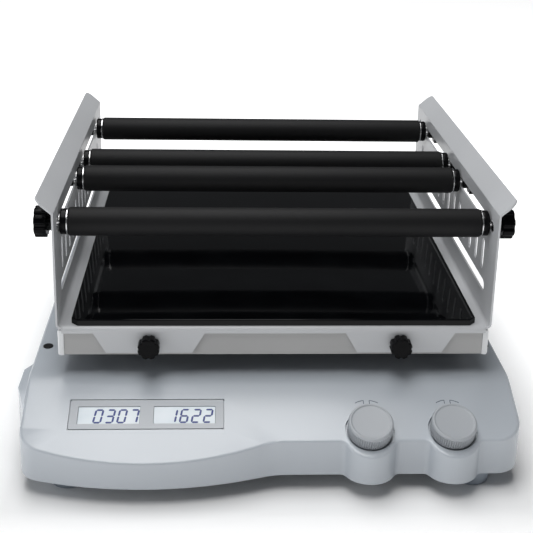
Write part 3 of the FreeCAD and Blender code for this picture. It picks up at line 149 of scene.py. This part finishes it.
def tinted(tree, value, low, high, start=0.3, stop=0.7):
    """A colour that goes from low to high as the value goes from start to stop."""
    ramp = tree.nodes.new("ShaderNodeValToRGB")
    ramp.color_ramp.elements[0].position = start
    ramp.color_ramp.elements[1].position = stop
    ramp.color_ramp.elements[0].color = (*low, 1.0)
    ramp.color_ramp.elements[1].color = (*high, 1.0)
    tree.links.new(value, ramp.inputs["Fac"])
    return ramp.outputs["Color"]


def raised(tree, shader, height, depth):
    """The surface pushed out by a height from 0 to 1, to a depth in metres."""
    bump = tree.nodes.new("ShaderNodeBump")
    bump.inputs["Strength"].default_value = 1.0
    bump.inputs["Distance"].default_value = depth
    tree.links.new(height, bump.inputs["Height"])
    tree.links.new(bump.outputs["Normal"], shader.inputs["Normal"])


def shade(colour, factor):
    """A colour made lighter or darker, no channel past 1."""
    return tuple(min(1.0, c * factor) for c in colour)


def grained(name, colour, roughness, grain=1400.0, depth=0.012 * MM, drift=0.04, gloss=0.5,
            metallic=0.0):
    """A moulded or coated finish: a slow drift of colour, and a fine grain in roughness and height."""
    finish, tree, shader, place = new_finish(name)
    slow = noise_at(tree, place, 9.0, 2.0)
    fine = noise_at(tree, place, grain, 4.0)
    tree.links.new(tinted(tree, slow, shade(colour, 1 - drift), shade(colour, 1 + drift)),
                   shader.inputs["Base Color"])
    tree.links.new(spread(tree, fine, roughness * 0.88, roughness * 1.12), shader.inputs["Roughness"])
    shader.inputs["Specular IOR Level"].default_value = gloss
    shader.inputs["Metallic"].default_value = metallic
    raised(tree, shader, fine, depth)
    return finish


table_span = 14.0
table_mesh = bpy.data.meshes.new("table_top")
table_mesh.from_pydata([(x * table_span / 2, y * table_span / 2, 0.0)
                        for x, y in ((-1, -1), (1, -1), (1, 1), (-1, 1))], [], [(0, 1, 2, 3)])
table_top = bpy.data.objects.new("table_top", table_mesh)
bpy.context.scene.collection.objects.link(table_top)
table_glow_finish, tree, shader, place = new_finish("table_white_painted_glow")
# painted light: the table glows more the farther each place lies from the base's footprint, which is
# half_base to each side, so the far table turns white while the shade close to the base stays dark
half_base = (185 * MM, 210 * MM, 0.0)
glow_starts, glow_full, glow = 5 * MM, 130 * MM, 0.75
from_base = place
for step, amount in (("ABSOLUTE", None), ("SUBTRACT", half_base), ("MAXIMUM", (0.0, 0.0, 0.0)),
                     ("LENGTH", None)):
    work = tree.nodes.new("ShaderNodeVectorMath")
    work.operation = step
    tree.links.new(from_base, work.inputs[0])
    if amount:
        work.inputs[1].default_value = amount
    from_base = work.outputs["Value" if step == "LENGTH" else "Vector"]
# painted light: emission rises from nothing at the base's edge to full strength farther out
tree.links.new(spread(tree, from_base, 0.0, glow, start=glow_starts, stop=glow_full),
               shader.inputs["Emission Strength"])
tree.links.new(tinted(tree, noise_at(tree, place, 2.0), (0.92, 0.92, 0.92), (0.94, 0.94, 0.94)),
               shader.inputs["Base Color"])
shader.inputs["Emission Color"].default_value = (1.0, 1.0, 1.0, 1.0)
shader.inputs["Roughness"].default_value = 0.6
shader.inputs["Specular IOR Level"].default_value = 0.2
table_mesh.materials.append(table_glow_finish)


# ------------------------------------------------------------------ base housing
# One moulded shell in pale blue-grey: deck, sloping control panel, display bulge, knob bosses
# and the switch pod.  The mould's fine spark texture gives it a satin look.
same_place = 0.001 * MM


def joined_mesh(name, source):
    """A new mesh of a CAD node's triangles in which points at the same place are one point."""
    points = np.empty(len(source.vertices) * 3)
    source.vertices.foreach_get("co", points)
    points = points.reshape(-1, 3)
    _, first, where = np.unique(np.round(points / same_place), axis=0, return_index=True,
                                return_inverse=True)
    corners = np.empty(len(source.loops), np.int64)
    source.loops.foreach_get("vertex_index", corners)
    faces = where.reshape(-1)[corners].reshape(-1, 3)
    whole = (faces != np.roll(faces, 1, axis=1)).all(axis=1)
    mesh = bpy.data.meshes.new(name)
    mesh.from_pydata(points[first].tolist(), [], faces[whole].tolist())
    mesh.validate()
    return mesh


def dressed(node, name, finish, edge=0.0, sharp=32.0):
    """A piece that stands for a CAD node: its surface joined, its curves smooth, and its corners
    eased by edge."""
    mesh = joined_mesh(name, nodes[node].data)
    if edge:
        work = bmesh.new()
        work.from_mesh(mesh)
        bmesh.ops.dissolve_limit(work, angle_limit=math.radians(0.3), verts=work.verts, edges=work.edges)
        work.to_mesh(mesh)
        work.free()
    mesh.materials.append(finish)
    mesh.shade_smooth()
    mesh.set_sharp_from_angle(angle=math.radians(sharp))
    piece = bpy.data.objects.new(name, mesh)
    bpy.context.scene.collection.objects.link(piece)
    if edge:
        ease = piece.modifiers.new("eased_edges", "BEVEL")
        ease.width = edge
        ease.segments = 2
        ease.limit_method = "ANGLE"
        ease.angle_limit = math.radians(sharp)
        ease.harden_normals = True
    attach(piece, nodes[node]["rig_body"])
    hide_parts(node)
    return piece


housing_finish = grained("housing_satin", (0.465, 0.50, 0.54), 0.24, grain=1700.0,
                         depth=0.002 * MM, drift=0.02, gloss=0.7)
dressed("base_housing", "housing_shell", housing_finish)


# ------------------------------------------------------------------ display
# A grey frame let into the panel holds two lit liquid-crystal windows.  Each shows four
# slanting seven-segment digits, dark blue on a white back-light.
dressed("display_bezel", "display_frame",
        grained("bezel_satin", (0.44, 0.465, 0.495), 0.34, grain=1500.0, depth=0.006 * MM, drift=0.02),
        edge=0.18 * MM)

lcd_finish, tree, shader, place = new_finish("lcd_glass")
edge_fade = noise_at(tree, place, 60.0, 1.0)
tree.links.new(tinted(tree, edge_fade, (0.40, 0.46, 0.50), (0.48, 0.52, 0.55)),
               shader.inputs["Base Color"])
tree.links.new(tinted(tree, edge_fade, (0.78, 0.86, 0.93), (0.92, 0.96, 1.0)),
               shader.inputs["Emission Color"])
shader.inputs["Emission Strength"].default_value = 0.19
shader.inputs["Roughness"].default_value = 0.12
dressed("lcd_modules", "display_glass", lcd_finish)

panel_turn = Vector(joints["speed_turn"]["axis"])
panel_up = panel_turn.cross(Vector((1, 0, 0))).normalized()
if panel_up.z < 0:
    panel_up = -panel_up
digit_height, digit_width = 11.2 * MM, 5.2 * MM
digit_pitch = 8.75 * MM
digit_slant = 0.151
segment_width, segment_gap = 1.5 * MM, 0.12 * MM
digit_ink_depth = 0.08 * MM
digit_foot = 1.2 * MM
left_margin, right_margin = 0.6 * MM, 1.7 * MM
ink_lift = 0.01 * MM
# each segment: (start, end) as shares of the digit's width and height
segments = {"a": ((0, 1), (1, 1)), "b": ((1, 1), (1, 0.5)), "c": ((1, 0.5), (1, 0)),
            "d": ((0, 0), (1, 0)), "e": ((0, 0), (0, 0.5)), "f": ((0, 0.5), (0, 1)),
            "g": ((0, 0.5), (1, 0.5))}
lit = {"0": "abcdef", "1": "bc", "2": "abged", "3": "abgcd", "6": "afgedc", "7": "abc"}


def segment_bar(start, end):
    """The six corners of one segment: a bar along start-end with a point at each end."""
    start = np.array(start) * (digit_width, digit_height)
    end = np.array(end) * (digit_width, digit_height)
    along = (end - start) / np.linalg.norm(end - start)
    across = np.array((-along[1], along[0])) * segment_width / 2
    tip, shoulder = along * segment_gap, along * (segment_gap + segment_width / 2)
    return np.array((start + tip, start + shoulder + across, end - shoulder + across, end - tip,
                     end - shoulder - across, start + shoulder - across))


def digit_bars(text, window_right, window_low, margin):
    """All segments of a number, set against the right of its window: (bars, 6, 2) in metres."""
    bars = []
    last_digit = window_right - margin - digit_width - digit_height * digit_slant
    for back, sign in enumerate(reversed(text)):
        for key in lit[sign]:
            bar = segment_bar(*segments[key])
            bar[:, 0] += bar[:, 1] * digit_slant
            bar += (last_digit - back * digit_pitch, window_low + digit_foot)
            bars.append(bar)
    return np.array(bars)


def prisms(name, outlines, origin, across, up, out, low, high):
    """Flat outlines (n, k, 2) on a plane, each raised into a closed prism from low to high above it:
    P = origin + u across + v up + h out, with h = low or high."""
    count, sides = outlines.shape[:2]
    flat = origin + outlines[..., :1] * across + outlines[..., 1:] * up
    points = np.concatenate((flat + out * low, flat + out * high), axis=1).reshape(-1, 3)
    ring = np.arange(sides)
    after = (ring + 1) % sides
    start = np.arange(count)[:, None] * 2 * sides
    top = (start + sides + ring).tolist()
    bottom = (start + ring[::-1]).tolist()
    walls = np.stack((ring, after, after + sides, ring + sides), axis=1)
    walls = (start[:, :, None] + walls[None]).reshape(-1, 4).tolist()
    mesh = bpy.data.meshes.new(name)
    mesh.from_pydata(points.tolist(), [], top + bottom + walls)
    return mesh


def facing_out(mesh):
    """All faces turned to look away from the inside."""
    work = bmesh.new()
    work.from_mesh(mesh)
    bmesh.ops.recalc_face_normals(work, faces=work.faces)
    work.to_mesh(mesh)
    work.free()
    return mesh


panel_axis = np.array(panel_turn)
panel_slope = np.array(panel_up)
across_x = np.array((1.0, 0.0, 0.0))
panel_point = np.array(joints["speed_turn"]["pos_m"])


def on_panel_axes(points):
    """Points as (across, up the slope, out of the panel), measured from the speed knob's place."""
    from_knob = points - panel_point
    return np.stack((points[:, 0], from_knob @ panel_slope, from_knob @ panel_axis), axis=1)


def node_points(node):
    """All points of a CAD node, (n, 3)."""
    return np.array([vertex.co for vertex in nodes[node].data.vertices])


windows = on_panel_axes(node_points("lcd_modules"))
window_split = (windows[:, 0].min() + windows[:, 0].max()) / 2
window_low = windows[:, 1].min()
window_face = windows[:, 2].max()
panel_zero = panel_point - panel_point[0] * across_x
left_window = windows[windows[:, 0] < window_split, 0]
right_window = windows[windows[:, 0] > window_split, 0]
bars = np.concatenate((digit_bars("0307", left_window.max(), window_low, left_margin),
                       digit_bars("1622", right_window.max(), window_low, right_margin)))
digit_mesh = facing_out(prisms("display_digits", bars, panel_zero, across_x, panel_slope, panel_axis,
                               window_face + ink_lift, window_face + digit_ink_depth))
digit_mesh.materials.append(grained("digit_ink", (0.010, 0.030, 0.20), 0.4, drift=0.05))
digits = bpy.data.objects.new("display_digits", digit_mesh)
bpy.context.scene.collection.objects.link(digits)
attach(digits, "base")


# ------------------------------------------------------------------ turning marks
# Printed above each knob: two thin strokes that bend away from the middle, each with a short
# tail at its inner end, to say that the knob turns both ways.
mark_radius, mark_up = 16.0 * MM, 11.0 * MM
mark_width, mark_depth = 0.6 * MM, 0.08 * MM
mark_start, mark_stop = math.radians(8.0), math.radians(33.0)
mark_hook = 3.2 * MM
mark_steps = 8


def stroke(points, width):
    """The outline of a band along a line of points: down one side and back up the other."""
    along = np.gradient(points, axis=0)
    along /= np.linalg.norm(along, axis=1, keepdims=True)
    side = np.stack((-along[:, 1], along[:, 0]), axis=1) * width / 2
    return np.concatenate((points + side, (points - side)[::-1]))


marks = []
for knob in ("speed", "time"):
    centre = np.array(joints[knob + "_turn"]["pos_m"])
    for hand in (-1, 1):
        angle = np.linspace(mark_start, mark_stop, mark_steps)
        arc = np.stack((hand * np.sin(angle), np.cos(angle)), axis=1) * mark_radius + (0.0, mark_up)
        hook = np.linspace(arc[0], arc[0] - (0.0, mark_hook), mark_steps)
        marks += [stroke(line, mark_width) + (centre[0], 0.0) for line in (arc, hook)]
mark_mesh = facing_out(prisms("turning_marks", np.array(marks), panel_zero, across_x, panel_slope,
                              panel_axis, 0.0, mark_depth))
mark_mesh.materials.append(grained("mark_ink", (0.10, 0.12, 0.155), 0.45, drift=0.03))
mark_piece = bpy.data.objects.new("turning_marks", mark_mesh)
bpy.context.scene.collection.objects.link(mark_piece)
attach(mark_piece, "base")


# ------------------------------------------------------------------ speed and time knobs
# Two moulded push knobs.  Fine straight ribs run round the side, and a raised rim encloses a
# shallow dish on the face.
most_of_edge = 0.49     # a rounding takes no more than this share of the edges beside it


def softened(points, reach, steps=5):
    """A line of (radius, height) corners, each replaced by a curve that starts and ends reach from it:
    B(t) = (1-t)^2 A + 2t(1-t) P + t^2 C."""
    points = np.array(points, float)
    line = [points[:1]]
    t = np.linspace(0.0, 1.0, steps)[:, None]
    for before, corner, after, amount in zip(points, points[1:], points[2:], reach):
        back = before - corner
        ahead = after - corner
        before_length, after_length = np.linalg.norm(back), np.linalg.norm(ahead)
        first = corner + back / before_length * min(amount, before_length * most_of_edge)
        last = corner + ahead / after_length * min(amount, after_length * most_of_edge)
        line.append((1 - t) ** 2 * first + 2 * t * (1 - t) * corner + t ** 2 * last)
    line.append(points[-1:])
    return np.concatenate(line)


def turned(profile, steps, trim=None):
    """A profile of (radius, height) carried round the axis: (r cos a, r sin a, h), where a trim may
    change r by trim(r, h, a)."""
    angle = np.linspace(0.0, 2 * math.pi, steps, endpoint=False)[None, :]
    radius = np.repeat(profile[:, :1], steps, axis=1)
    height = np.repeat(profile[:, 1:], steps, axis=1)
    if trim is not None:
        radius = trim(radius, height, angle)
    return np.stack((radius * np.cos(angle), radius * np.sin(angle), height), axis=2)


def set_along(grid, origin, axis, zero):
    """Points of a turned shape carried to an origin, its height along axis and its angle 0 towards
    zero: P = origin + x zero + y (axis x zero) + h axis."""
    axis, zero = np.array(axis, float), np.array(zero, float)
    side = np.cross(axis, zero)
    return np.array(origin) + grid[..., :1] * zero + grid[..., 1:2] * side + grid[..., 2:] * axis


def grid_mesh(name, grids, closed=False):
    """Sheets of points (rows, columns) joined into quads; the columns close on themselves, and so do
    the rows when closed.  A row that has shrunk to one place becomes one point."""
    points, faces, count = [], [], 0
    for grid in grids:
        rows, columns = grid.shape[:2]
        row = np.arange(rows if closed else rows - 1)[:, None]
        column = np.arange(columns)[None, :]
        next_row, next_column = (row + 1) % rows, (column + 1) % columns
        quads = np.stack((row * columns + column, row * columns + next_column,
                          next_row * columns + next_column, next_row * columns + column), axis=2)
        faces.append(quads.reshape(-1, 4) + count)
        points.append(grid.reshape(-1, 3))
        count += rows * columns
    mesh = bpy.data.meshes.new(name)
    mesh.from_pydata(np.concatenate(points).tolist(), [], np.concatenate(faces).tolist())
    work = bmesh.new()
    work.from_mesh(mesh)
    bmesh.ops.remove_doubles(work, verts=work.verts, dist=same_place)
    bmesh.ops.dissolve_degenerate(work, edges=work.edges, dist=same_place / 2)
    bmesh.ops.recalc_face_normals(work, faces=work.faces)
    work.to_mesh(mesh)
    work.free()
    return mesh


def placed(name, mesh, finish, body, stands_for=(), sharp=40.0):
    """The finished mesh as a piece that rides on a body and stands for its CAD nodes."""
    mesh.materials.append(finish)
    mesh.shade_smooth()
    mesh.set_sharp_from_angle(angle=math.radians(sharp))
    piece = bpy.data.objects.new(name, mesh)
    bpy.context.scene.collection.objects.link(piece)
    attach(piece, body)
    if stands_for:
        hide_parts(*stands_for)
    return piece


def span_along(node, origin, axis):
    """How far a node reaches along an axis from an origin, and how far round it: (low, high, radius)."""
    from_origin = node_points(node) - np.array(origin)
    along = from_origin @ np.array(axis)
    off = from_origin - along[:, None] * np.array(axis)
    return along.min(), along.max(), np.linalg.norm(off, axis=1).max()


knob_ribs, knob_rib_steps = 60, 8
knob_rib_depth, rib_roundness = 1.0 * MM, 1.5
rib_fade = 0.5 * MM             # over which a rib runs out at each end
rib_band, rib_band_fade = 1.2 * MM, 1.0 * MM    # the ribs reach only this far in from the skirt
skirt_foot = 0.6 * MM           # the skirt's start above the knob's lower face
skirt_drop, rib_drop = 1.9 * MM, 2.0 * MM       # the ends of skirt and ribs below its top
skirt_rows = 12
hollow_share, hollow_depth = 0.42, 5.0 * MM     # the hollow underneath: share of the radius, depth
bevel_drop, bevel_in = 1.3 * MM, 0.9 * MM
lip_in, dish_in = 1.9 * MM, 2.5 * MM            # the rim's inner edge and the dish's, from the side
dish_edge, dish_middle = 0.6 * MM, 0.45 * MM


def knob_trim(radius, height, angle):
    """Ribs on the side: the radius drops by the rib depth in a rounded wave, and only on the skirt."""
    wave = (0.5 - 0.5 * np.cos(angle * knob_ribs)) ** rib_roundness
    foot, head = (height - rib_low) / rib_fade, (rib_high - height) / rib_fade
    skirt = np.clip(foot, 0, 1) * np.clip(head, 0, 1)
    outer = np.clip((radius - knob_reach + rib_band) / rib_band_fade, 0, 1)
    return radius - knob_rib_depth * wave * skirt * outer


knob_finish = grained("knob_satin", (0.375, 0.395, 0.42), 0.33, grain=1500.0, depth=0.008 * MM,
                      drift=0.02)
for knob in ("speed", "time"):
    origin = joints[knob + "_turn"]["pos_m"]
    knob_low, knob_top, knob_reach = span_along(knob + "_knob", origin, panel_turn)
    rib_low, rib_high = knob_low + skirt_foot, knob_top - rib_drop
    wall_in, roof = knob_reach * hollow_share, knob_low + hollow_depth
    skirt = [(knob_reach, height) for height in np.linspace(rib_low, knob_top - skirt_drop, skirt_rows)]
    under = softened([(0.0, roof), (wall_in, roof), (wall_in, knob_low), (knob_reach, knob_low),
                      skirt[0]],
                     [0.3 * MM, 0.3 * MM, 0.35 * MM])
    face = softened([skirt[-1], (knob_reach, knob_top - bevel_drop), (knob_reach - bevel_in, knob_top),
                     (knob_reach - lip_in, knob_top), (knob_reach - dish_in, knob_top - dish_edge),
                     (0.0, knob_top - dish_middle)],
                    [0.5 * MM, 0.45 * MM, 0.25 * MM, 0.5 * MM])
    profile = np.concatenate((under[:-1], skirt, face[1:]))
    mesh = grid_mesh(knob + "_grip", [set_along(turned(profile, knob_ribs * knob_rib_steps, knob_trim),
                                                origin, panel_turn, across_x)])
    placed(knob + "_grip", mesh, knob_finish, knob + "_knob", [knob + "_knob"])


# ------------------------------------------------------------------ platform
# A machined tray on the cranks, with a pale plastic strip along each side.  Its front face shows
# between the carrier's tabs.
platform_finish = grained("platform_coat", (0.37, 0.368, 0.365), 0.40, grain=900.0,
                          depth=0.012 * MM, drift=0.03)
dressed("platform", "platform_tray", platform_finish, edge=0.3 * MM)
dressed("platform_trims", "platform_side_strips",
        grained("trim_satin", (0.70, 0.71, 0.72), 0.3, grain=1200.0, depth=0.008 * MM, drift=0.01))


# ------------------------------------------------------------------ carrier
# One sheet of steel, punched, folded and powder coated: floor, two slotted sides with turned-out
# flanges, a lip front and rear, and the tabs that the thumb screws hold.
carrier_finish, tree, shader, place = new_finish("powder_coat")
slow = noise_at(tree, place, 7.0, 2.0)
peel = noise_at(tree, place, 620.0, 2.0)
speck = noise_at(tree, place, 3200.0, 2.0)
tree.links.new(tinted(tree, slow, (0.47, 0.48, 0.495), (0.50, 0.51, 0.525)), shader.inputs["Base Color"])
tree.links.new(spread(tree, speck, 0.30, 0.42), shader.inputs["Roughness"])
raised(tree, shader, peel, 0.020 * MM)
dressed("carrier_tray", "carrier_sheet", carrier_finish, edge=0.28 * MM)


# ------------------------------------------------------------------ mat
# A sheet of glossy black rubber lies on the carrier's floor, its corners cut off and its top
# edges rounded.
mat_finish, tree, shader, place = new_finish("mat_rubber")
ripple = noise_at(tree, place, 14.0, 2.0)
smudge = noise_at(tree, place, 38.0, 5.0)
tree.links.new(tinted(tree, smudge, (0.0012, 0.0013, 0.0017), (0.0022, 0.0025, 0.003)),
               shader.inputs["Base Color"])
tree.links.new(spread(tree, smudge, 0.03, 0.07), shader.inputs["Roughness"])
shader.inputs["IOR"].default_value = 1.22
raised(tree, shader, ripple, 0.06 * MM)
dressed("rubber_mat", "carrier_mat", mat_finish)


# ------------------------------------------------------------------ cross bars
# Each bar is a steel rod in a black foam-rubber sleeve, with a glossy plastic collar at each end
# and a star knob outside each side plate that clamps it in the slot.
sleeve_finish = grained("sleeve_foam", (0.005, 0.005, 0.0055), 0.6, grain=2200.0, depth=0.03 * MM,
                        drift=0.12, gloss=0.2)
collar_finish = grained("collar_gloss", (0.003, 0.003, 0.0035), 0.24, grain=900.0, depth=0.006 * MM,
                        drift=0.05, gloss=0.08)
star_finish = grained("star_gloss", (0.0015, 0.0015, 0.002), 0.22, grain=700.0, depth=0.010 * MM,
                      drift=0.05, gloss=0.07)
rod_finish, tree, shader, place = new_finish("ground_steel")
lines = noise_at(tree, place, 160.0, 3.0, stretch=(14.0, 1.0, 1.0))
tree.links.new(tinted(tree, lines, (0.58, 0.58, 0.59), (0.74, 0.74, 0.74)), shader.inputs["Base Color"])
tree.links.new(spread(tree, lines, 0.18, 0.30), shader.inputs["Roughness"])
shader.inputs["Metallic"].default_value = 1.0
raised(tree, shader, lines, 0.004 * MM)

up_z = (0.0, 0.0, 1.0)
star_lobes, star_lobe_steps = 8, 28
star_bite, star_rim = 0.24, 0.55            # the bites and the rim's inner edge, as shares of the head
star_hub, star_hub_length = 0.58, 0.40      # the hub, as shares of the head's radius and the length
face_dish = 0.3 * MM                        # the middle of the face below its rim
bite_out = 0.45                             # the bites' centres outside the rim, in bite radii


def bitten(outer, bite, lobes):
    """A grip outline: the radius at each angle of a disc with one round bite between every two lobes."""
    def outline(angle):
        centre_at = outer + bite * bite_out
        from_bite = (angle + math.pi / lobes) % (2 * math.pi / lobes) - math.pi / lobes
        reach = bite ** 2 - (centre_at * np.sin(from_bite)) ** 2
        hollow = centre_at * np.cos(from_bite) - np.sqrt(np.clip(reach, 0, None))
        return np.where(reach > 0, np.minimum(hollow, outer), outer)
    return outline


def grip_trim(outer, inner, outline):
    """The bites take the whole depth at the rim and fade to nothing towards the hub."""
    def trim(radius, height, angle):
        share = np.clip((radius - inner) / (outer - inner), 0, 1) ** 0.5
        return radius - (outer - outline(angle)) * share
    return trim


def star_grid(node, origin, axis):
    """A star knob: a short hub, then a lobed head with soft edges and a slightly dished face."""
    low, high, reach = span_along(node, origin, axis)
    hub_radius, shoulder = reach * star_hub, low + (high - low) * star_hub_length
    profile = softened([(0.0, low), (hub_radius, low), (hub_radius, shoulder), (reach, shoulder),
                        (reach, high), (reach * star_rim, high), (0.0, high - face_dish)],
                       [0.3 * MM, 0.4 * MM, 0.9 * MM, 1.3 * MM, 3.0 * MM])
    trim = grip_trim(reach, hub_radius, bitten(reach, reach * star_bite, star_lobes))
    return set_along(turned(profile, star_lobes * star_lobe_steps, trim), origin, axis, up_z)


sleeve_steps = 72
sleeve_bore, collar_bore = 0.62, 0.34       # as shares of the outer radius
sleeve_round, collar_round = 1.5 * MM, 1.1 * MM
bore_lip = 1.0 * MM
for number in (1, 2, 3, 4):
    bar = "bar_%d" % number
    low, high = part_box(bar + "_sleeve")
    middle = (low + high) / 2
    half, outer = (high.x - low.x) / 2, (high.z - low.z) / 2
    bore = outer * sleeve_bore
    tube = softened([(bore, -half + bore_lip), (bore, -half), (outer, -half), (outer, half), (bore, half),
                     (bore, half - bore_lip)],
                    [0.3 * MM, sleeve_round, sleeve_round, 0.3 * MM], steps=7)
    pad = set_along(turned(tube, sleeve_steps), middle, across_x, up_z)
    mesh = grid_mesh(bar + "_pad", [pad], closed=True)
    placed(bar + "_pad", mesh, sleeve_finish, bar, [bar + "_sleeve"], sharp=50.0)

    points = node_points(bar + "_collars")
    rings = []
    for side in (-1, 1):
        of_side = points[points[:, 0] * side > middle.x * side]
        near, far = of_side[:, 0].min(), of_side[:, 0].max()
        reach = (of_side[:, 2].max() - of_side[:, 2].min()) / 2
        bore = reach * collar_bore
        ring = softened([(bore, near + bore_lip), (bore, near), (reach, near), (reach, far), (bore, far),
                         (bore, far - bore_lip)],
                        [0.2 * MM, collar_round, collar_round, 0.2 * MM])
        rings.append(set_along(turned(ring, sleeve_steps), (0.0, middle.y, middle.z), across_x, up_z))
    placed(bar + "_end_collars", grid_mesh(bar + "_end_collars", rings, closed=True), collar_finish, bar,
           [bar + "_collars"], sharp=50.0)
    dressed(bar + "_rod", bar + "_core", rod_finish, edge=0.15 * MM)

    for side, axis in (("left", (-1.0, 0.0, 0.0)), ("right", (1.0, 0.0, 0.0))):
        node = "%s_knob_%s" % (bar, side)
        grid = star_grid(node, (middle.x, middle.y, middle.z), axis)
        placed("%s_star_%s" % (bar, side), grid_mesh(node + "_grip", [grid]), star_finish,
               "%s_%s_knob" % (bar, side), [node], sharp=38.0)


# ------------------------------------------------------------------ thumb screws
# Two small moulded black screws with lobed heads go through the carrier's front tabs into the
# platform.
thumb_lobe_steps = 24
thumb_bite, thumb_rim = 0.22, 0.5           # the bites and the rim's inner edge, as shares of the head
stud_radius, head_length = 2.5 * MM, 9.0 * MM
for side in ("left", "right"):
    node = "thumb_screw_" + side
    low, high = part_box(node)
    centre = ((low.x + high.x) / 2, 0.0, (low.z + high.z) / 2)
    axis = np.array((0.0, -1.0, 0.0))
    start, stop, reach = span_along(node, centre, axis)
    head_start = stop - head_length
    profile = softened([(0.0, start), (stud_radius, start), (stud_radius, head_start),
                        (reach, head_start), (reach, stop), (reach * thumb_rim, stop),
                        (0.0, stop - face_dish)],
                       [0.4 * MM, 0.3 * MM, 0.6 * MM, 1.0 * MM, 2.0 * MM])
    trim = grip_trim(reach, stud_radius, bitten(reach, reach * thumb_bite, star_lobes))
    grid = set_along(turned(profile, star_lobes * thumb_lobe_steps, trim), centre, axis, up_z)
    placed("thumb_grip_" + side, grid_mesh(node + "_grip", [grid]), star_finish, "thumb_" + side,
           [node], sharp=38.0)


# ------------------------------------------------------------------ feet, plugs and screws
# Moulded grey rubber feet under the steel bottom plate, four rubber plugs in the deck, and zinc
# plated screws.
dressed("rubber_feet", "feet",
        grained("foot_rubber", (0.30, 0.34, 0.39), 0.5, grain=1300.0, depth=0.03 * MM, drift=0.06))
dressed("deck_plugs", "deck_hole_plugs",
        grained("plug_rubber", (0.006, 0.006, 0.0065), 0.4, grain=1300.0, depth=0.02 * MM, drift=0.1,
                gloss=0.3))
zinc_finish = grained("zinc_plate", (0.60, 0.60, 0.57), 0.34, grain=2600.0, depth=0.004 * MM,
                      drift=0.08, metallic=1.0)
dressed("screws", "pan_head_screws", zinc_finish)


# ------------------------------------------------------------------ switch and inlet
# A black rocker switch in the side pod, and the mains inlet with its fuse drawer in the rear wall.
black_finish = grained("black_moulding", (0.014, 0.014, 0.015), 0.36, grain=1500.0,
                       depth=0.010 * MM, drift=0.06)
for node, name in (("switch_body", "switch_frame"), ("power_rocker", "switch_rocker"),
                   ("power_inlet", "mains_inlet"), ("fuse_drawer", "fuse_holder")):
    dressed(node, name, black_finish, edge=0.15 * MM)


# ------------------------------------------------------------------ inside the base
# Steel bottom and chassis plates, turned cranks and pulleys, ball bearings, the motor can, the
# belt and the circuit boards.
sheet_finish = grained("coated_steel", (0.40, 0.42, 0.44), 0.4, grain=800.0, depth=0.02 * MM, drift=0.04)
for node in ("bottom_plate", "chassis_plate", "chassis_posts"):
    dressed(node, node + "_sheet", sheet_finish)
for node in ("speed_shaft", "time_shaft", "drive_crank", "motor_shaft", "base_bearings",
             "platform_bearings", "idler_crank_left_front", "idler_crank_left_rear",
             "idler_crank_right_front", "idler_crank_right_rear"):
    dressed(node, node + "_steel", rod_finish)
cast_finish = grained("machined_alloy", (0.66, 0.67, 0.68), 0.32, grain=1100.0, depth=0.012 * MM,
                      drift=0.05, metallic=1.0)
for node in ("bearing_hub", "driven_pulley", "motor_pulley"):
    dressed(node, node + "_alloy", cast_finish)
dressed("counterweight", "balance_weight",
        grained("cut_plate", (0.42, 0.42, 0.42), 0.45, grain=700.0, depth=0.03 * MM, drift=0.1,
                metallic=1.0))
dressed("motor", "motor_case",
        grained("motor_black", (0.09, 0.09, 0.10), 0.4, grain=900.0, depth=0.02 * MM))
dressed("drive_belt", "belt",
        grained("belt_rubber", (0.016, 0.016, 0.016), 0.65, grain=1800.0, depth=0.04 * MM, drift=0.1))
dressed("knob_encoders", "knob_switches", zinc_finish)

board_finish, tree, shader, place = new_finish("circuit_board")
tracks = tree.nodes.new("ShaderNodeTexBrick")
tracks.inputs["Scale"].default_value = 240.0
tracks.inputs["Color1"].default_value = (0.02, 0.17, 0.07, 1.0)
tracks.inputs["Color2"].default_value = (0.03, 0.22, 0.09, 1.0)
tracks.inputs["Mortar"].default_value = (0.06, 0.34, 0.16, 1.0)
tracks.inputs["Mortar Size"].default_value = 0.02
tree.links.new(place, tracks.inputs["Vector"])
tree.links.new(tracks.outputs["Color"], shader.inputs["Base Color"])
shader.inputs["Roughness"].default_value = 0.28
raised(tree, shader, tracks.outputs["Fac"], 0.03 * MM)
dressed("control_board", "control_board_card", board_finish)
dressed("power_supply", "power_supply_card", board_finish)


# ------------------------------------------------------------------ the scene brought up to date
bpy.context.view_layer.update()
